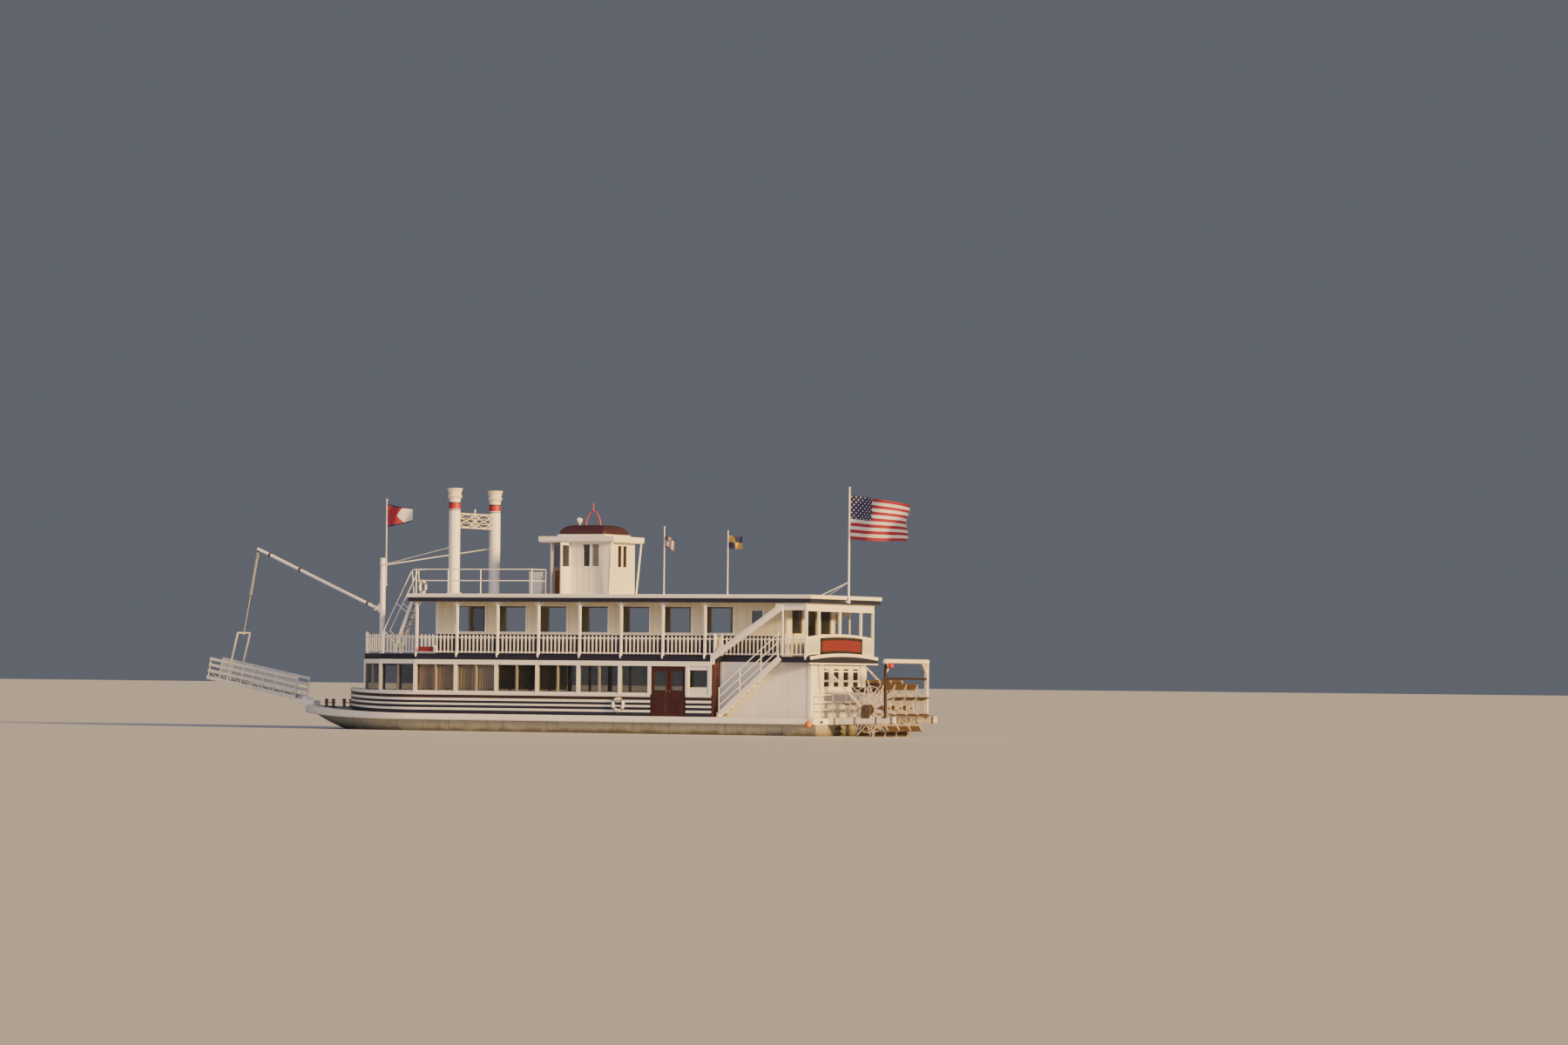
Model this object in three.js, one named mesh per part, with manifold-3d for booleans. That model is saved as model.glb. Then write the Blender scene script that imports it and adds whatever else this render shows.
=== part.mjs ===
// A double-deck sternwheel excursion boat, in millimetres.
// +X is the bow, +Y is port, +Z is up, and z = 0 is the water she floats in.
import * as THREE from 'three';
import { mergeVertices } from 'three/addons/utils/BufferGeometryUtils.js';
import Module from 'manifold-3d';

const wasm = await Module();
wasm.setup();

// Driving sizes

const SEAT = 0.3;                 // what two touching pieces keep between them
const SWING = 6;                  // what a moving piece keeps from its neighbours
const BAY = 1830;                 // post to post along both decks
const FIRST_POST = 6400;          // x of the foremost post of the straight side
const POSTS = 9;                  // posts of the straight side
const STERN_POST = -10780;        // x of the stern corner posts
const HALF_HOUSE = 3077;          // half the width over the house
const WALL = 80;                  // thickness of the house walls

const GUARD_BOTTOM = 444;
const MAIN_DECK = 690;
const SILL = 1536;                // top of the striped bulwark
const WINDOW_FOOT = 1600;
const WINDOW_HEAD = 2650;
const DECK_BOTTOM = 2826;
const UPPER_DECK = 3045;
const RAIL_TOP = 3815;
const ROOF_BOTTOM = 5119;
const ROOF_STEP = 5274;           // navy fascia below this, white edge above it
const ROOF_TOP = 5425;

const HALF_GUARD = 3200;
const TRANSOM = -11200;
const GUARD_TIP = 13263;
const BULWARK_TIP = 11090;
const SHEER_RISE = 298;           // how far the deck rises from the first post to the stem

const BOW_SIDE = { x: 8196, y: 2728 };
const BOW_FRONT = { x: 9310, y: 2075 };
const BULKHEAD = -6760;           // after end of the full-width saloon
const DOORWAY = { fore: -4105, aft: -5650 };
const MACHINERY = { half: 2480, aft: -10720 };
const STAIR = { fore: -6950, aft: -9690, inner: 2500, outer: 3050, steps: 12 };
const STAIRWELL = { fore: -6900, aft: -9700, y: 2450 };

const CABIN = { half: 2130, fore: 6020, aft: -9540, head: 5000, foot: 3900 };
const PANEL = { width: 510, first: 3240 };

const MAST = { x: 9710, radius: 115, top: 6913 };
const STACK = { x: 5492, y: 1646, radius: 225, top: 9644 };
const PILOT = { fore: 1460, aft: -1190, half: 1050, jamb: 546, head: 7493 };
const BOOM = { x: 9986, z: 4886, length: 6077, angle: 23.1, radius: 65 };
const STAGE = { x: 13330, z: 1225, length: 4430, half: 500, angle: 10.6, rails: [290, 530, 770] };
const WHEEL = { x: -12800, z: 1050, radius: 1150, half: 1650, arms: 10 };
const BEAM = { y: 1880, aft: -14040, width: 150, depth: 270 };
const RUDDER = { x: -11330, y: 1150, top: 330, head: -230, foot: -880 };

// Paints, as seen in evening sun

const paint = (color, roughness = 0.55, metalness = 0) =>
  new THREE.MeshStandardMaterial({ color, roughness, metalness });
const WHITE = paint(0xe9e4da);
const CREAM = paint(0xd9cfb4);
const NAVY = paint(0x1c1d31);
const HULL_PAINT = paint(0xcfc6b4, 0.7);
const MAROON = paint(0x5a1f26);
const DARK_STEEL = paint(0x2a2b2f, 0.6, 0.4);
const RED = paint(0xb03528);
const WEATHERED = paint(0x8a6a55, 0.85);
const GREY = paint(0x8c8d90, 0.6, 0.3);
const GLASS = paint(0x31383d, 0.1);
const CLOTH = paint(0xc9b48c, 0.9);
const ORANGE = paint(0xe2731c, 0.6);

// Shape helpers

const point = (x, y, z) => new THREE.Vector3(x, y, z);

function box(x0, x1, y0, y1, z0, z1) {
  const geometry = new THREE.BoxGeometry(x1 - x0, y1 - y0, z1 - z0);
  return geometry.translate((x0 + x1) / 2, (y0 + y1) / 2, (z0 + z1) / 2);
}

// A straight bar of width (level) by depth from p to q
function bar(p, q, width, depth) {
  const along = q.clone().sub(p);
  const length = along.length();
  along.normalize();
  const level = point(0, 0, 1).cross(along);
  if (level.lengthSq() < 1e-6) level.set(0, 1, 0);
  level.normalize();
  const up = along.clone().cross(level);
  const turn = new THREE.Matrix4().makeBasis(along, level, up);
  const middle = p.clone().add(q).multiplyScalar(0.5);
  return new THREE.BoxGeometry(length, width, depth)
    .applyMatrix4(turn)
    .translate(middle.x, middle.y, middle.z);
}

function rod(p, q, radius, sides = 10) {
  const along = q.clone().sub(p);
  const turn = new THREE.Quaternion()
    .setFromUnitVectors(point(0, 1, 0), along.clone().normalize());
  const middle = p.clone().add(q).multiplyScalar(0.5);
  return new THREE.CylinderGeometry(radius, radius, along.length(), sides)
    .applyQuaternion(turn)
    .translate(middle.x, middle.y, middle.z);
}

// A flat outline as a plate, with its holes cut right through: corners are [u, v] pairs
function plate(outline, holes, thickness) {
  const extruded = (corners, z0, z1) => new THREE.ExtrudeGeometry(
    new THREE.Shape(corners.map(([u, v]) => new THREE.Vector2(u, v))),
    { depth: z1 - z0, bevelEnabled: false, steps: 1 },
  ).translate(0, 0, z0);
  const whole = extruded(outline, 0, thickness);
  if (holes.length === 0) return whole;
  const cutters = holes.map((corners) => extruded(corners, -10, thickness + 10));
  return geometryOf(without(solid(whole), cutters));
}

const slab = (outline, holes, z0, z1) => plate(outline, holes, z1 - z0).translate(0, 0, z0);

// An upright plate along X: u is x and v is z
const sideWall = (outline, holes, y0, y1) =>
  plate(outline, holes, y1 - y0).rotateX(Math.PI / 2).translate(0, y1, 0);

// An upright plate across the boat: u is y and v is z
function crossWall(outline, holes, x0, x1) {
  const turn = new THREE.Matrix4().makeBasis(point(0, 1, 0), point(0, 0, 1), point(1, 0, 0));
  return plate(outline, holes, x1 - x0).applyMatrix4(turn).translate(x0, 0, 0);
}

const frame = (u0, u1, v0, v1) => [[u0, v0], [u1, v0], [u1, v1], [u0, v1]];

// A closed skin through rings of equal count, with both ends capped
function skin(rings, capTriangles) {
  const count = rings[0].length;
  const positions = rings.flat().flatMap((p) => [p.x, p.y, p.z]);
  const index = [];
  for (let r = 0; r + 1 < rings.length; r += 1) {
    for (let i = 0; i < count; i += 1) {
      const j = (i + 1) % count;
      const [a, b] = [r * count + i, r * count + j];
      index.push(a, b, b + count, a, b + count, a + count);
    }
  }
  const last = (rings.length - 1) * count;
  for (const [a, b, c] of capTriangles) {
    index.push(a, c, b);
    index.push(last + a, last + b, last + c);
  }
  return outward(positions, index);
}

// Turns the faces outwards if the enclosed volume comes out negative
function outward(positions, index) {
  let volume = 0;
  for (let t = 0; t < index.length; t += 3) {
    const [a, b, c] = [0, 1, 2].map((k) => point(...positions.slice(3 * index[t + k], 3 * index[t + k] + 3)));
    volume += a.dot(b.cross(c));
  }
  if (volume < 0) index.reverse();
  const geometry = new THREE.BufferGeometry();
  geometry.setAttribute('position', new THREE.Float32BufferAttribute(positions, 3));
  geometry.setIndex(index);
  return geometry;
}

function solid(geometry) {
  const bare = geometry.clone();
  for (const name of ['normal', 'uv']) bare.deleteAttribute(name);
  const merged = mergeVertices(bare, 1e-3);
  return new wasm.Manifold(new wasm.Mesh({
    numProp: 3,
    vertProperties: new Float32Array(merged.attributes.position.array),
    triVerts: new Uint32Array(merged.index.array),
  }));
}

const joined = (geometries) => geometries.map(solid).reduce((all, next) => all.add(next));
const without = (body, cutters) => cutters.map(solid).reduce((left, cutter) => left.subtract(cutter), body);

function geometryOf(body) {
  const { numProp, vertProperties, triVerts } = body.getMesh();
  const positions = [];
  for (let v = 0; v < vertProperties.length; v += numProp) {
    positions.push(vertProperties[v], vertProperties[v + 1], vertProperties[v + 2]);
  }
  const geometry = new THREE.BufferGeometry();
  geometry.setAttribute('position', new THREE.Float32BufferAttribute(positions, 3));
  geometry.setIndex(Array.from(triVerts));
  return geometry;
}

const boat = new THREE.Group();

function piece(name, shape, material, parent = boat) {
  const geometry = shape.isBufferGeometry ? shape : geometryOf(shape);
  const mesh = new THREE.Mesh(geometry, material);
  mesh.name = name;
  parent.add(mesh);
  return mesh;
}

function place(x, y, z, parent = boat) {
  const group = new THREE.Group();
  group.position.set(x, y, z);
  parent.add(group);
  return group;
}

const degrees = THREE.MathUtils.degToRad;

// Plan lines of the boat

const sheer = (x) => (x > FIRST_POST ? SHEER_RISE * ((x - FIRST_POST) / (GUARD_TIP - FIRST_POST)) ** 2 : 0);
const postX = (k) => FIRST_POST - k * BAY;

// Port side of a plan line: a straight side, then an arc tangent to it that ends at the stem
function plan(half, tangent, tip, stern, steps) {
  const radius = ((tip - tangent) ** 2 + half ** 2) / (2 * half);
  const sweep = Math.asin((tip - tangent) / radius);
  const line = [{ x: stern, y: half, nx: 0, ny: 1 }];
  for (let k = 0; k <= steps; k += 1) {
    const a = (sweep * k) / steps;
    const y = k === steps ? 0 : half - radius * (1 - Math.cos(a));
    line.push({ x: tangent + radius * Math.sin(a), y, nx: Math.sin(a), ny: Math.cos(a) });
  }
  return line;
}

const bothSides = (line) => {
  const back = line.slice(0, -1).reverse().map((p) => ({ ...p, y: -p.y, ny: -p.ny }));
  return [...line, ...back];
};

// Triangles across a ring whose first half is port and whose second half is its mirror
function across(count) {
  const triangles = [];
  const half = (count - 1) / 2;
  for (let i = 0; i < half; i += 1) {
    const [a, b, c, d] = [i, i + 1, count - 2 - i, count - 1 - i];
    if (b !== c) triangles.push([a, b, c], [a, c, d]);
    else triangles.push([a, b, d]);
  }
  return triangles;
}

// Hull: one decked solid with its guard, skeg and rudder lugs

const HULL_LEVELS = [
  // z, sheer share, half-beam, tangent x, tip x, stern x
  { z: -900, lift: 0, half: 150, tangent: 4500, tip: 8500, stern: -9600 },
  { z: -800, lift: 0, half: 2300, tangent: 4600, tip: 9000, stern: -10000 },
  { z: -550, lift: 0, half: 2800, tangent: 5000, tip: 10000, stern: -10700 },
  { z: 0, lift: 0, half: 2980, tangent: 5700, tip: 11400, stern: TRANSOM },
  { z: GUARD_BOTTOM, lift: 0.65, half: 3030, tangent: 6200, tip: 12800, stern: TRANSOM },
  { z: GUARD_BOTTOM, lift: 0.65, half: HALF_GUARD, tangent: FIRST_POST, tip: GUARD_TIP, stern: TRANSOM },
  { z: MAIN_DECK, lift: 1, half: HALF_GUARD, tangent: FIRST_POST, tip: GUARD_TIP, stern: TRANSOM },
];
const ARC_STEPS = 16;

function hullSkin(rise) {
  const rings = HULL_LEVELS.map(({ z, lift, half, tangent, tip, stern }) =>
    bothSides(plan(half, tangent, tip, stern, ARC_STEPS))
      .map((p) => point(p.x, p.y, z + rise + lift * sheer(p.x))));
  return skin(rings, across(rings[0].length));
}
const hullCutter = hullSkin(SEAT);

function rudderLugs(y) {
  const lugs = [RUDDER.top - 90, 60].map((z) =>
    box(RUDDER.x - 70, TRANSOM + 5, y - 70, y + 70, z, z + 80));
  const bore = rod(point(RUDDER.x, y, -200), point(RUDDER.x, y, 600), 46.3, 16);
  return without(joined(lugs), [bore]);
}

const NOSE = GUARD_TIP - 130;     // where the stage's hinge lugs stand on the stem head
function bitts(x, y) {
  const z = MAIN_DECK + sheer(x) - 20;
  return [
    box(x - 260, x + 260, y - 90, y + 90, z, z + 60),
    rod(point(x - 160, y, z), point(x - 160, y, z + 330), 60, 10),
    rod(point(x + 160, y, z), point(x + 160, y, z + 330), 60, 10),
  ];
}
const deckFittings = [
  ...bitts(11700, 700),
  ...bitts(11700, -700),
  box(NOSE - 420, NOSE + 60, -260, 260, MAIN_DECK + 180, STAGE.z - 90),
  ...[-1, 1].map((side) => box(NOSE - 60, STAGE.x + 60, side * 190 - 30, side * 190 + 30, 960, STAGE.z + 60)),
];
const hingeBore = rod(point(STAGE.x, -300, STAGE.z), point(STAGE.x, 300, STAGE.z), 31, 16);
const skeg = box(-9500, 8300, -60, 60, -1000, -850);
const hull = without(joined([hullSkin(0), skeg, ...deckFittings]), [hingeBore])
  .add(rudderLugs(RUDDER.y))
  .add(rudderLugs(-RUDDER.y));
piece('hull', hull, HULL_PAINT);

// Rudders hung on the transom, ahead of and below the wheel

for (const [side, y] of [['port', RUDDER.y], ['starboard', -RUDDER.y]]) {
  const stock = rod(point(0, 0, RUDDER.foot + 30), point(0, 0, RUDDER.top + 170), 45, 16);
  const blade = box(-820, 40, -30, 30, RUDDER.foot, RUDDER.head);
  const tiller = box(-300, 50, -35, 35, RUDDER.top + 90, RUDDER.top + 150);
  const collar = rod(point(0, 0, RUDDER.top - 10 + SEAT), point(0, 0, RUDDER.top + 60), 70, 12);
  piece(`rudder_${side}`, joined([stock, blade, tiller, collar]), DARK_STEEL, place(RUDDER.x, y, 0));
}

// Striped bulwark: one boarded wall from the port door, round the bow, to the starboard door

const BAND = 12;                  // how far the white boards stand proud
const STRIPES = [[837, 927], [1037, 1116], [1216, 1312]];
const CAP_FOOT = 1436;
const CAP_PROUD = 25;
const BULWARK_WALL = 60;
const BULWARK_FOOT = MAIN_DECK + 0.5;   // clear of the faceted sheer of the deck

const bulwarkProfile = [
  [0, BULWARK_FOOT],
  ...STRIPES.flatMap(([foot, head]) => [[0, foot], [BAND, foot], [BAND, head], [0, head]]),
  [0, CAP_FOOT], [CAP_PROUD, CAP_FOOT], [CAP_PROUD, SILL],
  [-BULWARK_WALL, SILL], [-BULWARK_WALL, BULWARK_FOOT],
];

// Carries the profile along plan stations: d is measured along each station's outward normal
function boarded(stations, profile = bulwarkProfile) {
  const rings = stations.map((s) => profile.map(([d, z]) =>
    point(s.x + s.nx * d, s.y + s.ny * d, z + sheer(s.x))));
  const flat = profile.map(([d, z]) => new THREE.Vector2(d, z));
  return skin(rings, THREE.ShapeUtils.triangulateShape(flat, []));
}

const bowLine = plan(HALF_HOUSE, FIRST_POST, BULWARK_TIP, DOORWAY.fore, 9);
const stem = bowLine[bowLine.length - 1];
stem.ny = 0;
stem.nx = 1 / stem.nx;
piece('bulwark', boarded(bothSides(bowLine)), NAVY);

// Saloon walls above the bulwark, with a light each side of a mullion in every bay

const POST = 140;
const MULLION = 60;

function saloonLights() {
  const lights = [];
  for (let k = 0; k < 5; k += 1) {
    const [fore, aft] = [postX(k) - POST / 2, postX(k + 1) + POST / 2];
    const middle = (fore + aft) / 2;
    lights.push(frame(aft, middle - MULLION / 2, WINDOW_FOOT, WINDOW_HEAD));
    lights.push(frame(middle + MULLION / 2, fore, WINDOW_FOOT, WINDOW_HEAD));
  }
  lights.push(frame(DOORWAY.fore + POST / 2, postX(5) - POST / 2, WINDOW_FOOT, WINDOW_HEAD));
  lights.push(frame(-6620, -5750, 1777, 2535));
  return lights;
}

const saloonOutline = [
  [BULKHEAD, SILL + SEAT], [DOORWAY.aft, SILL + SEAT], [DOORWAY.aft, WINDOW_HEAD],
  [DOORWAY.fore, WINDOW_HEAD], [DOORWAY.fore, SILL + SEAT],
  [FIRST_POST - SEAT, SILL + SEAT], [FIRST_POST - SEAT, DECK_BOTTOM - SEAT], [BULKHEAD, DECK_BOTTOM - SEAT],
];
for (const [side, inner] of [['port', HALF_HOUSE - WALL], ['starboard', -HALF_HOUSE]]) {
  piece(`window_wall_${side}`, sideWall(saloonOutline, saloonLights(), inner, inner + WALL), WHITE);
}

// Bow of the saloon: five faces with windows, and a doorway onto the foredeck

const bowOuter = [
  [FIRST_POST, HALF_HOUSE], [BOW_SIDE.x, BOW_SIDE.y], [BOW_FRONT.x, BOW_FRONT.y],
  [BOW_FRONT.x, -BOW_FRONT.y], [BOW_SIDE.x, -BOW_SIDE.y], [FIRST_POST, -HALF_HOUSE],
];
const bowCentre = 6000;
const inwards = (outline, by) => outline.map(([x, y]) => {
  const shrink = 1 - by / HALF_HOUSE;
  return [bowCentre + (x - bowCentre) * shrink, y * shrink];
});

// A box through the middle of a straight face, to cut a window: along and z are its limits
function facetCutter(p, q, fore, aft, z0, z1) {
  const a = point(p[0], p[1], (z0 + z1) / 2);
  const b = point(q[0], q[1], (z0 + z1) / 2);
  const along = b.clone().sub(a).normalize();
  const length = a.distanceTo(b);
  const start = a.clone().addScaledVector(along, fore);
  const end = a.clone().addScaledVector(along, length - aft);
  return bar(start, end, 400, z1 - z0);
}

const bowInner = inwards(bowOuter, WALL);
bowInner[0][0] = FIRST_POST;
bowInner[5][0] = FIRST_POST;
const bowStrip = [...bowOuter, ...[...bowInner].reverse()];
const bowFaces = [0, 1, 3, 4].map((k) => [bowOuter[k], bowOuter[k + 1]]);
const bowCuts = bowFaces.flatMap(([p, q]) => {
  const half = Math.hypot(p[0] - q[0], p[1] - q[1]) / 2;
  return [
    facetCutter(p, q, POST / 2 + 20, half + MULLION / 2, WINDOW_FOOT, WINDOW_HEAD),
    facetCutter(p, q, half + MULLION / 2, POST / 2 + 20, WINDOW_FOOT, WINDOW_HEAD),
  ];
});
const frontCuts = [
  box(BOW_FRONT.x - 300, BOW_FRONT.x + 100, -600, 600, MAIN_DECK + 60, WINDOW_HEAD),
  ...[-1, 1].flatMap((side) => [box(BOW_FRONT.x - 300, BOW_FRONT.x + 100,
    Math.min(side * 760, side * 1900), Math.max(side * 760, side * 1900), WINDOW_FOOT, WINDOW_HEAD)]),
];
// The bow wall stands inside the bulwark and on its cap
const clearOfBulwark = boarded(bothSides(bowLine),
  [[400, 0], [400, SILL + SEAT], [-BULWARK_WALL - SEAT, SILL + SEAT], [-BULWARK_WALL - SEAT, 0]]);
piece('bow_wall', without(solid(slab(bowStrip, [], MAIN_DECK - 40, DECK_BOTTOM - SEAT)),
  [...bowCuts, ...frontCuts, clearOfBulwark, hullCutter]), WHITE);

// Glass: one strip each side behind the saloon lights

for (const [side, y] of [['port', HALF_HOUSE - WALL - 10 - SEAT], ['starboard', -HALF_HOUSE + WALL + SEAT]]) {
  piece(`glass_${side}`, box(DOORWAY.fore + 20, FIRST_POST - 100, y, y + 10, SILL + 20, WINDOW_HEAD + 50), GLASS);
}

// After bulkhead with the short striped returns abaft the doors

const returnLine = (sign) => [
  { x: BULKHEAD, y: sign * HALF_HOUSE, nx: 0, ny: sign },
  { x: DOORWAY.aft, y: sign * HALF_HOUSE, nx: 0, ny: sign },
];
const bulkheadPlate = box(BULKHEAD - WALL, BULKHEAD - SEAT, -HALF_HOUSE, HALF_HOUSE,
  MAIN_DECK + SEAT, DECK_BOTTOM - SEAT);
const returnFoot = (sign) => box(BULKHEAD - 40, BULKHEAD + 10, Math.min(sign * 3020, sign * 3070),
  Math.max(sign * 3020, sign * 3070), MAIN_DECK + SEAT, SILL);
const returns = [1, -1].map((sign) => solid(boarded(returnLine(sign))));
piece('after_bulkhead', joined([bulkheadPlate, returnFoot(1), returnFoot(-1)])
  .add(returns[0]).add(returns[1]), MAROON);

// Double doors: each leaf turns on a full-height barrel at its own jamb

const LEAF = 45;
const BARREL = 15;
const HINGE = 33;                 // from a jamb to the barrel's axis, so that the leaf's corner turns clear
const LEAF_Y = HALF_HOUSE - 45;

function leaf(width, foot, head, glazed) {
  const reach = (z0, z1) => [[-BARREL, z0], [width, z0], [width, z1], [-BARREL, z1]];
  const holes = glazed ? [frame(120, width - 110, glazed.foot, glazed.head)] : [];
  const panel = sideWall(reach(foot + 12, head - 12), holes, -LEAF / 2, LEAF / 2);
  return joined([panel, rod(point(0, 0, foot + SEAT), point(0, 0, head - SEAT), BARREL, 16)]);
}

const leafWidth = (DOORWAY.fore - DOORWAY.aft) / 2 - HINGE - SWING / 2;
for (const [side, sign] of [['port', 1], ['starboard', -1]]) {
  for (const [end, x, turn] of [
    ['fore', DOORWAY.fore - HINGE, Math.PI],
    ['aft', DOORWAY.aft + HINGE, 0],
  ]) {
    const hinge = place(x, sign * LEAF_Y, 0);
    hinge.rotation.z = turn;
    piece(`door_${side}_${end}`, leaf(leafWidth, MAIN_DECK, WINDOW_HEAD, { foot: 1700, head: 2450 }),
      MAROON, hinge);
  }
}

// Machinery house: two side walls, an after wall with four lights, and the engine as a block

const sideHouse = frame(MACHINERY.aft + WALL + SEAT, BULKHEAD - WALL - SEAT, MAIN_DECK + SEAT, DECK_BOTTOM - SEAT);
for (const [side, inner] of [['port', MACHINERY.half - WALL], ['starboard', -MACHINERY.half]]) {
  piece(`machinery_wall_${side}`, sideWall(sideHouse, [], inner, inner + WALL), WHITE);
}
const AFTER_LIGHTS = [1080, 210, -660, -1530];
const afterLights = AFTER_LIGHTS.map((y) => frame(y - 280, y + 280, 1810, 2590));
piece('machinery_wall_aft', crossWall(
  frame(-MACHINERY.half, MACHINERY.half, MAIN_DECK + SEAT, DECK_BOTTOM - SEAT),
  afterLights, MACHINERY.aft, MACHINERY.aft + WALL), WHITE);
piece('engine', box(-9600, -7600, -700, 700, MAIN_DECK + SEAT, 1900), GREY);

// Side stairs, rising aft in the side passages

function stair(sign) {
  const rise = (UPPER_DECK - MAIN_DECK) / STAIR.steps;
  const going = (STAIR.fore - STAIR.aft) / STAIR.steps;
  const [y0, y1] = [STAIR.inner, STAIR.outer].map((y) => sign * y).sort((a, b) => a - b);
  // The flight's own outline: steps above, a straight soffit below
  const flight = [[STAIR.fore - going, MAIN_DECK + SEAT], [STAIR.fore, MAIN_DECK + SEAT]];
  for (let k = 1; k < STAIR.steps; k += 1) {
    flight.push([STAIR.fore - going * (k - 1), MAIN_DECK + rise * k], [STAIR.fore - going * k, MAIN_DECK + rise * k]);
  }
  flight.push([STAIR.aft + 4, MAIN_DECK + rise * (STAIR.steps - 1)], [STAIR.aft + 4, DECK_BOTTOM - 200]);
  const parts = [sideWall(flight, [], y0, y1)];
  const railY = sign * (STAIR.outer - 25);
  const slope = (x) => MAIN_DECK + rise * ((STAIR.fore - x) / going);
  const [low, high] = [STAIR.fore - going / 2, STAIR.aft + going / 2];
  for (const lift of [550, 1000]) {
    parts.push(rod(point(low + 60, railY, slope(low + 60) + lift), point(high - 60, railY, slope(high - 60) + lift), 20, 6));
  }
  for (const x of [low, (low + high) / 2, high]) {
    parts.push(rod(point(x, railY, slope(x) - 60), point(x, railY, slope(x) + 1000), 22, 6));
  }
  return joined(parts);
}
piece('stair_port', stair(1), WHITE);
piece('stair_starboard', stair(-1), WHITE);

// Upper deck, notched at both sides for the stairs

const DECK_AFT = STERN_POST - 170;
const EDGE = HALF_HOUSE - 40;
const portDeckEdge = [
  [DECK_AFT, 0], [DECK_AFT, EDGE], [STAIRWELL.aft, EDGE], [STAIRWELL.aft, STAIRWELL.y],
  [STAIRWELL.fore, STAIRWELL.y], [STAIRWELL.fore, EDGE], [FIRST_POST, EDGE],
  [BOW_SIDE.x - 8, BOW_SIDE.y - 40], [BOW_FRONT.x, BOW_FRONT.y - 20],
];
const deckOutline = [...portDeckEdge.slice(1), ...portDeckEdge.slice(1).reverse().map(([x, y]) => [x, -y])];
piece('upper_deck', slab([...deckOutline].reverse(), [], DECK_BOTTOM, UPPER_DECK), NAVY);

// Balustrades: posts to the roof, rails and pickets between them

const SQUARE = 100;               // section of the upper posts
const PICKET_PITCH = BAY / 4;
const PICKET = 50;
const RAIL = 60;
const RAIL_FOOT = UPPER_DECK + 60;
const postY = EDGE - SQUARE / 2 - 5;

const upright = (x, y, head, size = SQUARE) =>
  box(x - size / 2, x + size / 2, y - size / 2, y + size / 2, UPPER_DECK + SEAT, head);

function railing(p, q) {
  const a = point(p[0], p[1], 0);
  const b = point(q[0], q[1], 0);
  const run = (z, depth) => bar(a.clone().setZ(z), b.clone().setZ(z), RAIL, depth);
  const parts = [run(RAIL_TOP - 30, 60), run(RAIL_FOOT + 25, 50)];
  const length = a.distanceTo(b);
  const count = Math.max(1, Math.round(length / PICKET_PITCH));
  for (let k = 1; k < count; k += 1) {
    const at = a.clone().lerp(b, k / count);
    parts.push(bar(at.clone().setZ(RAIL_FOOT + 20), at.clone().setZ(RAIL_TOP - 20), PICKET, 24));
  }
  return parts;
}

function balustrade(sign) {
  const head = ROOF_BOTTOM - SEAT;
  const side = (k) => [postX(k), sign * postY];
  const parts = [];
  for (let k = 0; k < POSTS - 1; k += 1) parts.push(upright(...side(k), head));
  for (let k = 0; k < POSTS - 2; k += 1) parts.push(...railing(side(k), side(k + 1)));
  const bow = [
    [FIRST_POST, sign * postY], [BOW_SIDE.x - 70, sign * (BOW_SIDE.y - 100)],
    [BOW_FRONT.x - 70, sign * (BOW_FRONT.y - 80)], [BOW_FRONT.x - 70, sign * 45],
  ];
  for (let k = 0; k < 3; k += 1) parts.push(...railing(bow[k], bow[k + 1]));
  for (const [x, y] of bow.slice(1, 3)) parts.push(upright(x, y, RAIL_TOP + 60));
  parts.push(upright(BOW_FRONT.x - 70, sign * 45, RAIL_TOP + 60, 80));
  const well = [
    [postX(7), sign * postY], [STAIRWELL.fore + 60, sign * postY],
    [STAIRWELL.fore + 60, sign * (STAIRWELL.y - 60)], [STAIRWELL.aft + 100, sign * (STAIRWELL.y - 60)],
  ];
  for (let k = 0; k < 3; k += 1) parts.push(...railing(well[k], well[k + 1]));
  parts.push(upright(...well[1], RAIL_TOP + 20), upright(...well[2], RAIL_TOP + 20), upright(...well[3], RAIL_TOP + 20));
  return joined(parts);
}

// The sloped board over each stair, from the saloon's after corner up to a thin post at the stern
const HOOD = { low: point(-6770, 0, 2985), high: point(-9640, 0, 4905), deep: 300, thick: 50, thin: -9750 };
function sternSide(sign) {
  const y = sign * postY;
  const stern = [STERN_POST + 30, y];
  const thin = [HOOD.thin, y];
  return [
    upright(...stern, ROOF_BOTTOM - SEAT),
    upright(...thin, ROOF_BOTTOM - SEAT, 60),
    ...railing(thin, stern),
  ];
}
function hood(sign) {
  const y = sign * (EDGE + SEAT + HOOD.thick / 2);
  const low = HOOD.low.clone().setY(y);
  const high = HOOD.high.clone().setY(y);
  const [y0, y1] = [sign * (postY - 25), sign * (EDGE + HOOD.thick)].sort((a, b) => a - b);
  return [bar(low, high, HOOD.thick, HOOD.deep), box(HOOD.thin - 30, HOOD.thin + 280, y0, y1, 4780, 5100)];
}
for (const [side, sign] of [['port', 1], ['starboard', -1]]) {
  piece(`balustrade_${side}`, balustrade(sign), WHITE);
}

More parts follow.
